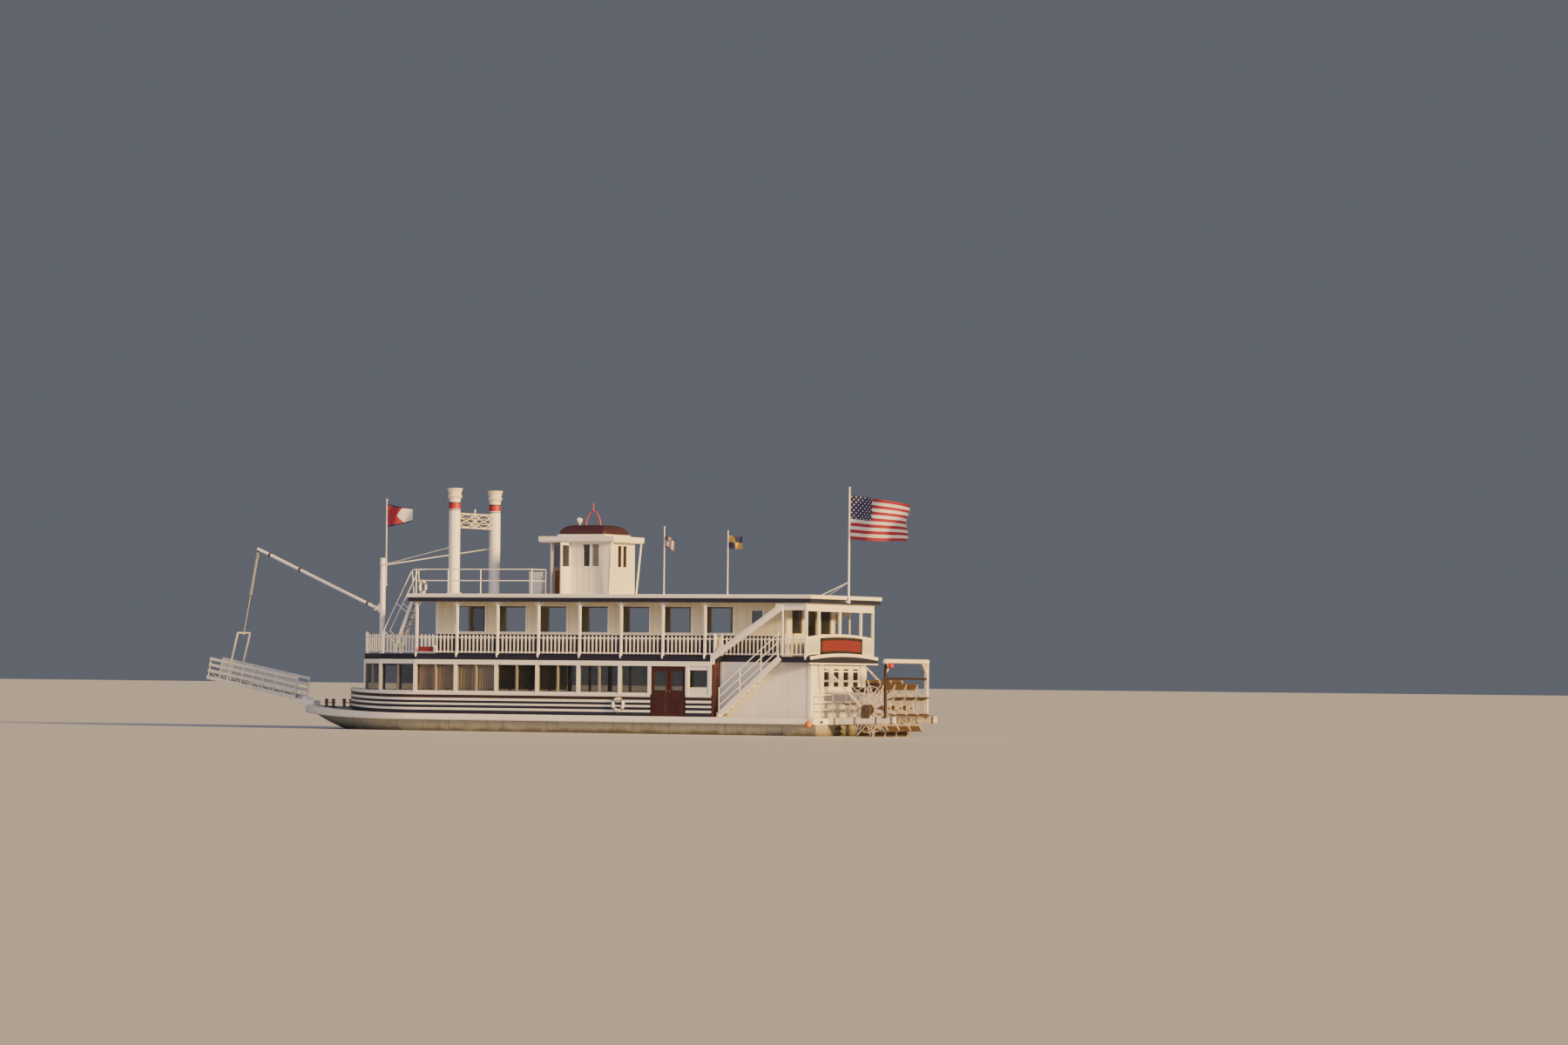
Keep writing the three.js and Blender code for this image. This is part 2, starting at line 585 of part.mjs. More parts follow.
// Stern screen: corner posts, middle posts, header and pickets, with both stair hoods
const screenX = STERN_POST + 30;
function sternScreen() {
  const parts = [...sternSide(1), ...sternSide(-1), ...hood(1), ...hood(-1)];
  const stops = [postY, 1890, 0, -1890, -postY];
  for (const y of stops.slice(1, 4)) parts.push(upright(screenX, y, ROOF_BOTTOM - SEAT));
  for (let k = 0; k < 4; k += 1) parts.push(...railing([screenX, stops[k]], [screenX, stops[k + 1]]));
  parts.push(box(screenX - 40, screenX + 40, -postY, postY, 4800, ROOF_BOTTOM - SEAT));
  return joined(parts);
}
piece('stern_screen', sternScreen(), WHITE);
piece('sign_board', box(screenX - 100, screenX - 50 - SEAT, -1850, 1850, 3190, 3760), RED);

// Upper cabin, inboard of the side walks

function cabinSideHoles() {
  const holes = [frame(PANEL.first + PANEL.width, 5200, CABIN.foot, CABIN.head)];
  for (let k = 0; k < 6; k += 1) {
    const aft = PANEL.first - BAY * (k + 1) + PANEL.width;
    holes.push(frame(aft, PANEL.first - BAY * k, CABIN.foot, CABIN.head));
  }
  holes.push(frame(-8500, -7950, 4250, 4860));
  return holes;
}
const cabinSide = frame(CABIN.aft, CABIN.fore, UPPER_DECK + SEAT, ROOF_BOTTOM - SEAT);
for (const [side, inner] of [['port', CABIN.half - WALL], ['starboard', -CABIN.half]]) {
  piece(`cabin_wall_${side}`, sideWall(cabinSide, cabinSideHoles(), inner, inner + WALL), CREAM);
}
const endHalf = CABIN.half - WALL - SEAT;
const DOOR_HALF = 500;
const cabinEnd = [
  [-endHalf, UPPER_DECK + SEAT], [-DOOR_HALF, UPPER_DECK + SEAT], [-DOOR_HALF, 4950], [DOOR_HALF, 4950],
  [DOOR_HALF, UPPER_DECK + SEAT], [endHalf, UPPER_DECK + SEAT],
  [endHalf, ROOF_BOTTOM - SEAT], [-endHalf, ROOF_BOTTOM - SEAT],
];
const endLights = [frame(-1800, -750, CABIN.foot, CABIN.head - 60), frame(750, 1800, CABIN.foot, CABIN.head - 60)];
piece('cabin_wall_fore', crossWall(cabinEnd, endLights, CABIN.fore - WALL, CABIN.fore), CREAM);
piece('cabin_wall_aft', crossWall(cabinEnd, endLights, CABIN.aft, CABIN.aft + WALL), CREAM);

// Roof with a stepped edge, its two short flag poles, and the stern staff clamped outside it with its braces

const ROOF = { fore: 6750, aft: -11050, half: 3200, step: 45 };
const ROOF_POLES = [{ x: -4680, top: 8060 }, { x: -7440, top: 7890 }];
const STAFF = { x: -11120, foot: 5150, top: 9650, radius: 38, clamps: [5180, 5330] };
const roofPlan = (inset) => frame(ROOF.aft + inset, ROOF.fore - inset, -ROOF.half + inset, ROOF.half - inset);
const roofParts = [
  slab(roofPlan(ROOF.step), [], ROOF_BOTTOM, ROOF_STEP + 5),
  slab(roofPlan(0), [], ROOF_STEP, ROOF_TOP),
];
for (const { x, top } of ROOF_POLES) {
  roofParts.push(rod(point(x, ROOF.half - 60, ROOF_TOP - 60), point(x, ROOF.half - 60, top), 22, 8));
}
roofParts.push(rod(point(STAFF.x, 0, STAFF.foot), point(STAFF.x, 0, STAFF.top), STAFF.radius, 12));
for (const z of STAFF.clamps) roofParts.push(box(STAFF.x - 55, ROOF.aft + 100, -55, 55, z, z + 60));
for (const sign of [1, -1]) {
  roofParts.push(rod(point(STAFF.x + 10, sign * 10, 5960), point(STAFF.x + 1100, sign * 330, ROOF_TOP - 20), 20, 8));
}
piece('roof', joined(roofParts), WHITE);

// Port roof rail from the ladder to the pilothouse

const RAILING = { top: 6396, middle: 5947, y: 2800, pipe: 22 };
const railStations = [6560, 5100, 3634, 1344];
function roofRail() {
  const parts = [];
  const run = (p, q) => {
    for (const z of [RAILING.top, RAILING.middle]) parts.push(rod(p.clone().setZ(z), q.clone().setZ(z), RAILING.pipe, 4));
  };
  const stanchion = (x, y) => rod(point(x, y, ROOF_TOP + SEAT), point(x, y, RAILING.top), 26, 4);
  const fore = railStations[0];
  const aft = railStations[railStations.length - 1];
  run(point(aft - 20, RAILING.y, 0), point(fore + 20, RAILING.y, 0));
  run(point(aft, RAILING.y, 0), point(aft, PILOT.half + 560, 0));
  for (const x of railStations) parts.push(stanchion(x, RAILING.y));
  parts.push(stanchion(aft, PILOT.half + 580));
  return joined(parts);
}
piece('roof_rail', roofRail(), WHITE);

// Ladder from the upper foredeck to the roof's front edge

function ladder() {
  const parts = [];
  const foot = point(7830, 0, UPPER_DECK + SEAT);
  const head = point(6880, 0, ROOF_TOP + 60);
  const [y0, y1] = [1800, 2350];
  const outline = [
    [foot.x + 50, foot.z], [foot.x - 70, foot.z], [head.x - 70 + 30, head.z], [head.x + 80, head.z],
  ];
  for (const y of [y0, y1 - 40]) parts.push(sideWall([...outline].reverse(), [], y, y + 40));
  const rungs = 8;
  for (let k = 1; k < rungs; k += 1) {
    const at = foot.clone().lerp(head, k / rungs);
    parts.push(box(at.x - 70, at.x + 70, y0 + 20, y1 - 20, at.z - 15, at.z + 15));
  }
  for (const y of [y0 + 20, y1 - 20]) {
    parts.push(rod(point(foot.x + 480, y, 3900), point(head.x + 120, y, 6420), 20, 6));
    parts.push(rod(point(foot.x - 60, y, 3500), point(foot.x + 430, y, 3960), 18, 6));
    parts.push(rod(point(head.x + 40, y, head.z - 40), point(head.x + 150, y, 6320), 18, 6));
  }
  return joined(parts);
}
piece('bow_ladder', ladder(), WHITE);
piece('roof_locker', box(1850, 2400, 700, 1100, ROOF_TOP + SEAT, 6330), WHITE);

// Stacks with flared, fluted-looking crowns, the scroll panel between them

const STACK_SIDES = 16;
function stack() {
  const profile = [
    [0, ROOF_TOP + SEAT], [310, ROOF_TOP + SEAT], [310, ROOF_TOP + 45], [225, ROOF_TOP + 60],
    [225, 8760], [238, 8770], [238, 9090], [225, 9100],
    [225, 9230], [298, 9310], [250, 9380], [308, 9610], [308, STACK.top],
    [280, STACK.top], [190, 9300], [190, 8900], [0, 8900],
  ];
  return new THREE.LatheGeometry(profile.map(([r, z]) => new THREE.Vector2(r, z)), STACK_SIDES).rotateX(Math.PI / 2);
}
for (const [side, sign] of [['port', 1], ['starboard', -1]]) {
  piece(`stack_${side}`, stack(), WHITE, place(STACK.x, sign * STACK.y, 0));
}

const SCROLL = { top: 8655, foot: 8096, bar: 26, strip: 32, ring: 72, hole: 52 };
// Each bow's height off the panel's middle at its ends, what it gains halfway, and how thick it is
const BOWS = [[0, 245, 26], [250, -225, 22], [0, 115, 18]];
const THINNER_BELOW = 2;          // so that no two bows have faces in one plane
const BOW_START = { y: 10, shift: 3 };   // shift parts the ends of the upper and lower bows
const CORNER_RINGS = { offs: [200, 1220], up: 185, thick: 14 };
const BOW_STEPS = 10;

function scrollPanel() {
  const reach = STACK.y - STACK.radius - SEAT;
  const middle = (SCROLL.top + SCROLL.foot) / 2;
  const turn = new THREE.Matrix4().makeBasis(point(0, 1, 0), point(0, 0, 1), point(1, 0, 0));
  const cutOut = (shape, thick) =>
    new THREE.ExtrudeGeometry(shape, { depth: thick, bevelEnabled: false, curveSegments: 6 })
      .applyMatrix4(turn).translate(STACK.x - thick / 2, 0, 0);
  const ring = (y, z) => {
    const shape = new THREE.Shape();
    shape.absarc(y, z, SCROLL.ring, 0, 2 * Math.PI, false);
    const hole = new THREE.Path();
    hole.absarc(y, z, SCROLL.hole, 0, 2 * Math.PI, true);
    shape.holes.push(hole);
    return cutOut(shape, CORNER_RINGS.thick);
  };
  const bow = (sign, flip, foot, gain, thick) => {
    const edge = (offset) => Array.from({ length: BOW_STEPS + 1 }, (_, k) => {
      const part = k / BOW_STEPS;
      const height = middle + flip * (foot + gain * Math.sin(Math.PI * part)) + offset;
      return new THREE.Vector2(sign * (BOW_START.y + flip * BOW_START.shift + part * reach), height);
    });
    return cutOut(new THREE.Shape([...edge(SCROLL.strip / 2), ...edge(-SCROLL.strip / 2).reverse()]), thick);
  };
  const parts = [SCROLL.top, SCROLL.foot].map((z) =>
    rod(point(STACK.x, -reach - 40, z), point(STACK.x, reach + 40, z), SCROLL.bar, 6));
  parts.push(box(STACK.x - 15, STACK.x + 15, -25, 25, SCROLL.foot, SCROLL.top + 120));
  for (const sign of [1, -1]) {
    for (const flip of [1, -1]) {
      for (const [foot, gain, thick] of BOWS) {
        parts.push(bow(sign, flip, foot, gain, flip > 0 ? thick : thick - THINNER_BELOW));
      }
      for (const y of CORNER_RINGS.offs) parts.push(ring(sign * y, middle + flip * CORNER_RINGS.up));
    }
  }
  const clear = [1, -1].map((sign) =>
    rod(point(STACK.x, sign * STACK.y, 7000), point(STACK.x, sign * STACK.y, 9000), STACK.radius + SEAT, STACK_SIDES));
  return without(joined(parts), clear);
}
piece('stack_scrolls', scrollPanel(), WHITE);

// Mast on the foredeck with its boom bracket, the jack staff behind it and two stays to the stacks

function mast() {
  const foot = MAIN_DECK + sheer(MAST.x) - 40;
  const parts = [
    rod(point(MAST.x, 0, foot), point(MAST.x, 0, MAST.top), MAST.radius, 14),
    rod(point(MAST.x - 145, 0, 5780), point(MAST.x - 145, 0, 9300), 25, 8),
    box(MAST.x - 160, MAST.x, -40, 40, 5820, 5880),
    box(MAST.x - 160, MAST.x, -40, 40, 6700, 6760),
  ];
  for (const y of [-95, 65]) {
    parts.push(box(MAST.x + 60, BOOM.x + 75, y, y + 30, BOOM.z - 90, BOOM.z + 90));
  }
  for (const sign of [1, -1]) {
    parts.push(rod(point(MAST.x, 0, 6620), point(STACK.x, sign * STACK.y, 7337), 26, 6));
  }
  const stacks = [1, -1].map((sign) =>
    rod(point(STACK.x, sign * STACK.y, 6000), point(STACK.x, sign * STACK.y, 8000), STACK.radius + SEAT, STACK_SIDES));
  const bore = rod(point(BOOM.x, -200, BOOM.z), point(BOOM.x, 200, BOOM.z), 25.9, 16);
  return without(joined(parts), [...stacks, bore, hullCutter]);
}
piece('mast', mast(), WHITE);

// Pilothouse

const SILL_P = 6536;
const HEAD_P = 7440;
const pilotBase = ROOF_TOP + SEAT;
const pilotHead = PILOT.head - SEAT;
const pilotWall = 60;
const pilotSide = frame(PILOT.aft, PILOT.jamb - SEAT, pilotBase, pilotHead);
const pilotSideLights = [frame(-725, -380, SILL_P, HEAD_P), frame(-320, 15, SILL_P, HEAD_P)];
for (const [side, inner] of [['port', PILOT.half - pilotWall], ['starboard', -PILOT.half]]) {
  piece(`pilothouse_wall_${side}`, sideWall(pilotSide, pilotSideLights, inner, inner + pilotWall), WHITE);
}
const acrossHalf = PILOT.half - pilotWall - SEAT;
const rearLights = [-1, 1].map((sign) => frame(sign * 220 - 135, sign * 220 + 135, SILL_P, HEAD_P - 60));
piece('pilothouse_wall_aft', crossWall(frame(-acrossHalf, acrossHalf, pilotBase, pilotHead), rearLights,
  PILOT.aft, PILOT.aft + pilotWall), WHITE);
const foreLights = [-1, 1].map((sign) => frame(sign * 490 - 420, sign * 490 + 420, SILL_P - 60, HEAD_P));
piece('pilothouse_wall_fore', crossWall(frame(-PILOT.half, PILOT.half, pilotBase, pilotHead), foreLights,
  PILOT.fore - pilotWall, PILOT.fore), WHITE);

const CANOPY = { fore: 1880, aft: -1500, half: 1300, top: 7733, base: 7820 };
function canopy() {
  const parts = [
    box(CANOPY.aft, CANOPY.fore, -CANOPY.half, CANOPY.half, PILOT.head, CANOPY.top),
    box(-1000, 1150, -1080, 1080, CANOPY.top - 5, CANOPY.base),
  ];
  for (const sign of [1, -1]) {
    const foot = point(-1225, sign * 1150, pilotBase + 12);
    parts.push(bar(foot, point(-1390, sign * 1240, PILOT.head + 10), 50, 50));
  }
  const below = box(-3000, 0, -2000, 2000, 5000, pilotBase);
  return without(joined(parts), [below]);
}
piece('pilothouse_canopy', canopy(), WHITE);

const DOME = { fore: 1120, aft: -970, half: 1050, inset: 500, rise: 375 };
function dome() {
  const rings = [];
  for (let k = 0; k <= 5; k += 1) {
    const a = (Math.PI / 2) * (k / 5);
    const inset = DOME.inset * (1 - Math.cos(a));
    const z = CANOPY.base + SEAT + DOME.rise * Math.sin(a);
    const [x0, x1, y] = [DOME.aft + inset, DOME.fore - inset, DOME.half - inset];
    rings.push([point(x0, -y, z), point(x1, -y, z), point(x1, y, z), point(x0, y, z)]);
  }
  return skin(rings, [[0, 1, 2], [0, 2, 3]]);
}
piece('pilothouse_dome', dome(), MAROON);

// Red arch on the dome, with a spike at its crown
const ARCH = { x: 120, half: 350, rise: 600, band: 50, spike: 330 };
function arch() {
  const shape = new THREE.Shape();
  const foot = CANOPY.base + 2 * SEAT + DOME.rise;
  shape.moveTo(ARCH.x - ARCH.half, foot);
  shape.absellipse(ARCH.x, foot, ARCH.half, ARCH.rise, Math.PI, 0, true);
  shape.absellipse(ARCH.x, foot, ARCH.half - ARCH.band, ARCH.rise - ARCH.band, 0, Math.PI, false);
  const body = new THREE.ExtrudeGeometry(shape, { depth: ARCH.band, bevelEnabled: false, curveSegments: 10 });
  const crown = foot + ARCH.rise;
  const spike = rod(point(ARCH.x, 0, crown - ARCH.band / 2), point(ARCH.x, 0, crown + ARCH.spike), 18, 8);
  return joined([body.rotateX(Math.PI / 2).translate(0, ARCH.band / 2, 0), spike]);
}
piece('dome_arch', arch(), RED);

// Pilothouse doors: the port one stands open, square to the side, as in the picture
const doorWidth = PILOT.fore - pilotWall - PILOT.jamb - SWING - HINGE;
for (const [side, sign, turn] of [['port', 1, Math.PI / 2], ['starboard', -1, 0]]) {
  const hinge = place(PILOT.jamb + HINGE, sign * (PILOT.half - 30), 0);
  hinge.rotation.z = turn;
  piece(`pilothouse_door_${side}`, leaf(doorWidth, ROOF_TOP, PILOT.head, { foot: SILL_P, head: HEAD_P - 60 }),
    WHITE, hinge);
}

// Boom, pinned to the mast bracket, with the falls hung from its end

const boomGroup = place(BOOM.x, 0, BOOM.z);
boomGroup.rotation.y = -degrees(BOOM.angle);
const EYE = 34;
function boom() {
  const heel = rod(point(0, -58, 0), point(0, 58, 0), 62, 12);
  const pin = rod(point(0, -110, 0), point(0, 110, 0), 25, 16);
  const spar = rod(point(20, 0, 0), point(BOOM.length - 150, 0, 0), BOOM.radius, 12);
  const bands = [0.42, 3.9, 5.45].map((x) => rod(point(x * 1000, 0, 0), point(x * 1000 + 80, 0, 0), BOOM.radius + 12, 8));
  const cheeks = [-1, 1].map((s) => box(BOOM.length - 260, BOOM.length + 50,
    s * 47 - 12, s * 47 + 12, -45, 45));
  const bore = rod(point(BOOM.length, -200, 0), point(BOOM.length, 200, 0), 15.7, 12);
  return without(joined([heel, pin, spar, ...bands, ...cheeks]), [bore]);
}
piece('boom', boom(), WHITE, boomGroup);

// Falls: two blocks and their rope parts, kept as one hanging link
const FALL_TIP = point(BOOM.x + BOOM.length * Math.cos(degrees(BOOM.angle)), 0,
  BOOM.z + BOOM.length * Math.sin(degrees(BOOM.angle)));
const BAIL = { x: 16230, z: 3849, foot: 3459, top: 3333, height: 2046 };
const fallLean = Math.atan2(BAIL.x - FALL_TIP.x, FALL_TIP.z - BAIL.z);
const fallLength = Math.hypot(BAIL.x - FALL_TIP.x, FALL_TIP.z - BAIL.z);
const fallGroup = place(FALL_TIP.x, 0, FALL_TIP.z);
fallGroup.rotation.y = -fallLean;
function falls() {
  return joined([
    rod(point(0, -58, 0), point(0, 58, 0), 15, 12),
    rod(point(0, -34, 0), point(0, 34, 0), EYE, 12),
    box(-14, 14, -20, 20, -140, 0),
    box(-45, 45, -28, 28, -360, -120),
    rod(point(-24, 0, -340), point(-24, 0, -1660), 12, 6),
    rod(point(24, 0, -340), point(24, 0, -1660), 12, 6),
    box(-45, 45, -28, 28, -1900, -1640),
    rod(point(0, 0, -1880), point(0, 0, -fallLength + 46), 12, 6),
  ]);
}
piece('falls', falls(), CREAM, fallGroup);

// Landing stage hinged on the stem head: deck, three-bar rails and the bail

const stageGroup = place(STAGE.x, 0, STAGE.z);
stageGroup.rotation.y = -degrees(STAGE.angle);
function stage() {
  const parts = [
    box(150, STAGE.length, -STAGE.half, STAGE.half, -40, 20),
    rod(point(0, -250, 0), point(0, 250, 0), 30, 16),
    box(-50, 320, -150, 150, -42, 22),
  ];
  for (const y of [-STAGE.half, STAGE.half - 50]) {
    parts.push(box(120, STAGE.length, y, y + 50, -80, 60));
    for (const z of STAGE.rails) parts.push(box(160, STAGE.length, y + 8, y + 42, z - 30, z + 30));
    for (let k = 0; k <= 4; k += 1) {
      const x = 180 + ((STAGE.length - 240) * k) / 4;
      parts.push(box(x - 25, x + 25, y + 5, y + 45, 0, STAGE.rails[2] + 20));
    }
    parts.push(bar(point(BAIL.foot, y + 25, 0), point(BAIL.top, y + 25, BAIL.height + 10), 50, 50));
  }
  parts.push(box(BAIL.top - 30, BAIL.top + 30, -STAGE.half, STAGE.half, BAIL.height - 30, BAIL.height + 30));
  return joined(parts);
}
piece('landing_stage', stage(), WHITE, stageGroup);

// Flags: thin solids of the cloth's size and hang

piece('flag_bow', slab([[8380, -12], [9540 - SEAT, -12], [9540 - SEAT, 12], [8380, 12]], [], 8130, 9120), RED);
piece('flag_stern', box(STAFF.x - 2600, STAFF.x - STAFF.radius - SEAT, -15, 15, 7450, 9350), RED);
piece('flag_roof_fore', box(ROOF_POLES[0].x - 250, ROOF_POLES[0].x - 22 - SEAT, ROOF.half - 75, ROOF.half - 45,
  7150, 7750), RED);
piece('flag_roof_aft', box(ROOF_POLES[1].x - 640, ROOF_POLES[1].x - 22 - SEAT, ROOF.half - 70, ROOF.half - 50,
  7150, 7750), NAVY);

// Stern wheel: beams with bearings and the arch frame, then the wheel itself

const BEARING = 75.95;            // the bore clears a 24-sided journal all round
function wheelFrame() {
  const parts = [];
  for (const sign of [1, -1]) {
    const y = sign * BEAM.y;
    parts.push(bar(point(TRANSOM - SEAT, y, 572), point(BEAM.aft, y, 656), BEAM.width, BEAM.depth));
    parts.push(box(WHEEL.x - 190, WHEEL.x + 190, y - 75, y + 75, 650, WHEEL.z + 130));
    parts.push(box(-13680, -13540, y - 70, y + 70, 700, 2900));
    parts.push(bar(point(-13000, y, 700), point(-10750, y, 2900), 60, 60));
  }
  parts.push(box(-13680, -13540, -BEAM.y - 70, BEAM.y + 70, 2850, 2990));
  parts.push(box(-13660, -13560, -BEAM.y, BEAM.y, 2190, 2290));
  parts.push(box(TRANSOM - 150, TRANSOM - SEAT, -BEAM.y, BEAM.y, 570, 690));
  const bores = [1, -1].map((sign) => rod(point(WHEEL.x, sign * (BEAM.y - 200), WHEEL.z),
    point(WHEEL.x, sign * (BEAM.y + 200), WHEEL.z), BEARING, 24));
  const deckAbove = box(-12000, -9000, -3000, 3000, DECK_BOTTOM - SEAT, 3500);
  const wallAhead = box(MACHINERY.aft - SEAT, -9000, -3000, 3000, 600, 3500);
  const transom = box(TRANSOM - SEAT, -9000, -3000, 3000, 0, 700);
  return without(joined(parts), [...bores, deckAbove, wallAhead, transom]);
}
piece('wheel_frame', wheelFrame(), WHITE);

const wheelGroup = place(WHEEL.x, 0, WHEEL.z);
const SPIDERS = [-1550, -517, 517, 1550];
const BUCKET = { inner: 870, thick: 36 };
function paddleWheel() {
  const parts = [rod(point(0, -BEAM.y - 90, 0), point(0, BEAM.y + 90, 0), 75, 24)];
  for (const y of SPIDERS) {
    parts.push(rod(point(0, y - 50, 0), point(0, y + 50, 0), 190, WHEEL.arms));
  }
  for (let k = 0; k < WHEEL.arms; k += 1) {
    const a = (2 * Math.PI * k) / WHEEL.arms + 0.2;
    const out = point(Math.cos(a), 0, Math.sin(a));
    for (const y of SPIDERS) {
      const p = out.clone().multiplyScalar(100).setY(y);
      const q = out.clone().multiplyScalar(BUCKET.inner + 30).setY(y);
      parts.push(bar(p, q, 60, BUCKET.thick - 6));
    }
    const p = out.clone().multiplyScalar(BUCKET.inner);
    const q = out.clone().multiplyScalar(WHEEL.radius);
    parts.push(bar(p, q, 2 * WHEEL.half, BUCKET.thick));
  }
  return joined(parts);
}
piece('paddle_wheel', paddleWheel(), WEATHERED, wheelGroup);

// Loose gear on the port side, and the curtains behind the foremost lights

const ringBuoy = new THREE.TorusGeometry(225, 55, 8, 18).rotateX(Math.PI / 2);
piece('life_ring', ringBuoy, WHITE, place(-2722, HALF_HOUSE + BAND + 55 + SEAT, 1130));
piece('ball_fender', new THREE.SphereGeometry(135, 16, 10).rotateX(Math.PI / 2), ORANGE,
  place(-11050, HALF_GUARD + 135 + SEAT, 460));
for (const [side, sign] of [['port', 1], ['starboard', -1]]) {
  const y = sign * (HALF_HOUSE - WALL - 60);
  piece(`curtain_${side}`, box(2800, 6280, y - 15, y + 15, 1650, DECK_BOTTOM - SEAT), CLOTH);
}

export default boat;
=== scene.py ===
# Sternwheel excursion steamer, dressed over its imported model: metres, +X to the bow, +Y to port, +Z up
import math
from functools import partial

import bmesh
import bpy
import numpy as np
from mathutils import Matrix, Vector


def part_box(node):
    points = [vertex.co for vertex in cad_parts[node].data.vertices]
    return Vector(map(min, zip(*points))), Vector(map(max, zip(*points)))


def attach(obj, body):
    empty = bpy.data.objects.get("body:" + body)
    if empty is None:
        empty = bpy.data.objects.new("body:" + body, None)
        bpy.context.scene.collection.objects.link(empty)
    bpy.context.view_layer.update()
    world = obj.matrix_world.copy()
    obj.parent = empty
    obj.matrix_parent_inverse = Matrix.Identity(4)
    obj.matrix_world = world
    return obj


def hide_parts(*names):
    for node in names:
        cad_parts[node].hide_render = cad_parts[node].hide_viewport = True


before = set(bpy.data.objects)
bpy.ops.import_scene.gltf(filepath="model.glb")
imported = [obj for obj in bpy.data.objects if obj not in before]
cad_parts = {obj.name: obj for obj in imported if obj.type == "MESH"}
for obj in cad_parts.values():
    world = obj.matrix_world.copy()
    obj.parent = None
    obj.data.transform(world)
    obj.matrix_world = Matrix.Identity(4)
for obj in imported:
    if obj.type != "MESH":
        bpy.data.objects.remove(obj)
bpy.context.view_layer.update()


# Camera: a long lens, low over the water, on the port side and a little abaft the beam.
# The line of sight to the boat's middle goes through the point AIM of the photo's frame.
FRAME_SIZE = (1800, 1200)
AIM = (682.36, 775.12)
FOCAL_PIXELS = 6517.6
TURNED = 0.0099                 # radians, how far the picture leans clockwise
BEARING = 0.4887                # radians, between the boat's beam and the line of sight
DISTANCE = 225.06
EYE_HEIGHT = 2.272
SENSOR = 36.0

camera_data = bpy.data.cameras.new("camera")
camera_data.sensor_width = SENSOR
camera_data.lens = SENSOR * FOCAL_PIXELS / FRAME_SIZE[0]
camera_data.clip_end = 2000
camera = bpy.data.objects.new("camera", camera_data)
bpy.context.scene.collection.objects.link(camera)
bpy.context.scene.camera = camera

off_x = FRAME_SIZE[0] / 2 - AIM[0]
off_y = AIM[1] - FRAME_SIZE[1] / 2
yaw = math.atan2(off_x * math.cos(TURNED) - off_y * math.sin(TURNED), FOCAL_PIXELS)
pitch = math.atan2((off_x * math.sin(TURNED) + off_y * math.cos(TURNED)) * math.cos(yaw), FOCAL_PIXELS)


def swung(first, second, angle):
    """Two directions at right angles, turned by an angle in their plane, the first towards the second."""
    c, s = math.cos(angle), math.sin(angle)
    return first * c + second * s, second * c - first * s


ahead = Vector((math.sin(BEARING), -math.cos(BEARING), 0))
across = Vector((-math.cos(BEARING), -math.sin(BEARING), 0))
ahead, across = swung(ahead, across, yaw)
ahead, up = swung(ahead, Vector((0, 0, 1)), pitch)
across, up = swung(across, up, TURNED)
camera.matrix_world = Matrix.Translation(
    (-DISTANCE * math.sin(BEARING), DISTANCE * math.cos(BEARING), EYE_HEIGHT)
) @ Matrix((across, up, -ahead)).transposed().to_4x4()


# Light: a pale sky all round, one broad warm lamp low over the stern and a soft fill from the port side
def sun(name, towards, strength, colour, spread):
    """A distant lamp that shines along a direction, with a disc of so many degrees for soft edges."""
    data = bpy.data.lights.new(name, "SUN")
    data.energy = strength
    data.color = colour
    data.angle = math.radians(spread)
    lamp = bpy.data.objects.new(name, data)
    lamp.rotation_mode = "QUATERNION"
    lamp.rotation_quaternion = Vector(towards).to_track_quat("-Z", "Y")
    bpy.context.scene.collection.objects.link(lamp)


sun("evening_key", (0.93, -0.21, -0.24), 9.0, (1.0, 0.60, 0.17), 8)
sun("soft_fill", (0.30, -0.85, -0.42), 1.35, (1.0, 0.86, 0.86), 55)
world = bpy.data.worlds.new("sky")
bpy.context.scene.world = world
world.use_nodes = True
sky = world.node_tree.nodes["Background"].inputs
sky["Color"].default_value = (0.40, 0.43, 0.52, 1)
sky["Strength"].default_value = 0.30


# Floor: plain and pale, at the waterline, with the hull's bottom below it. Its paint is made as the boat's
# is, from two shader groups: one for what weather does to paint, and one for boards laid side by side.
def feed(node, inputs):
    """A node's inputs, each linked from a socket or set to a value; the node."""
    for key, value in inputs.items():
        if isinstance(value, bpy.types.NodeSocket):
            node.id_data.links.new(value, node.inputs[key])
        else:
            node.inputs[key].default_value = value
    return node


def add(tree, kind, inputs=None, **settings):
    """One shader node with its settings and its inputs."""
    node = tree.nodes.new(kind)
    for key, value in settings.items():
        setattr(node, key, value)
    return feed(node, inputs or {})


def tree_of(*values):
    """The node tree of the first socket among some values."""
    return next(value.id_data for value in values if isinstance(value, bpy.types.NodeSocket))


def maths(operation, a, b=0.0):
    """One Math node on sockets or numbers; its result."""
    return add(tree_of(a, b), "ShaderNodeMath", {0: a, 1: b}, operation=operation).outputs[0]


times, plus, minus = partial(maths, "MULTIPLY"), partial(maths, "ADD"), partial(maths, "SUBTRACT")
above, below, over = partial(maths, "GREATER_THAN"), partial(maths, "LESS_THAN"), partial(maths, "DIVIDE")
whole, part_of_one = partial(maths, "FLOOR"), partial(maths, "FRACT")


def off_middle(value):
    """How far a value lies from one half."""
    return maths("ABSOLUTE", minus(value, 0.5))


def ramp(factor, stops):
    """A ramp of grey or colour stops, (place, value), over a factor; its colour."""
    node = add(factor.id_data, "ShaderNodeValToRGB", {"Fac": factor})
    while len(node.color_ramp.elements) < len(stops):
        node.color_ramp.elements.new(0.5)
    for element, (place, value) in zip(node.color_ramp.elements, stops):
        element.position = place
        element.color = (value, value, value, 1) if isinstance(value, float) else (*value, 1)
    return node.outputs["Color"]


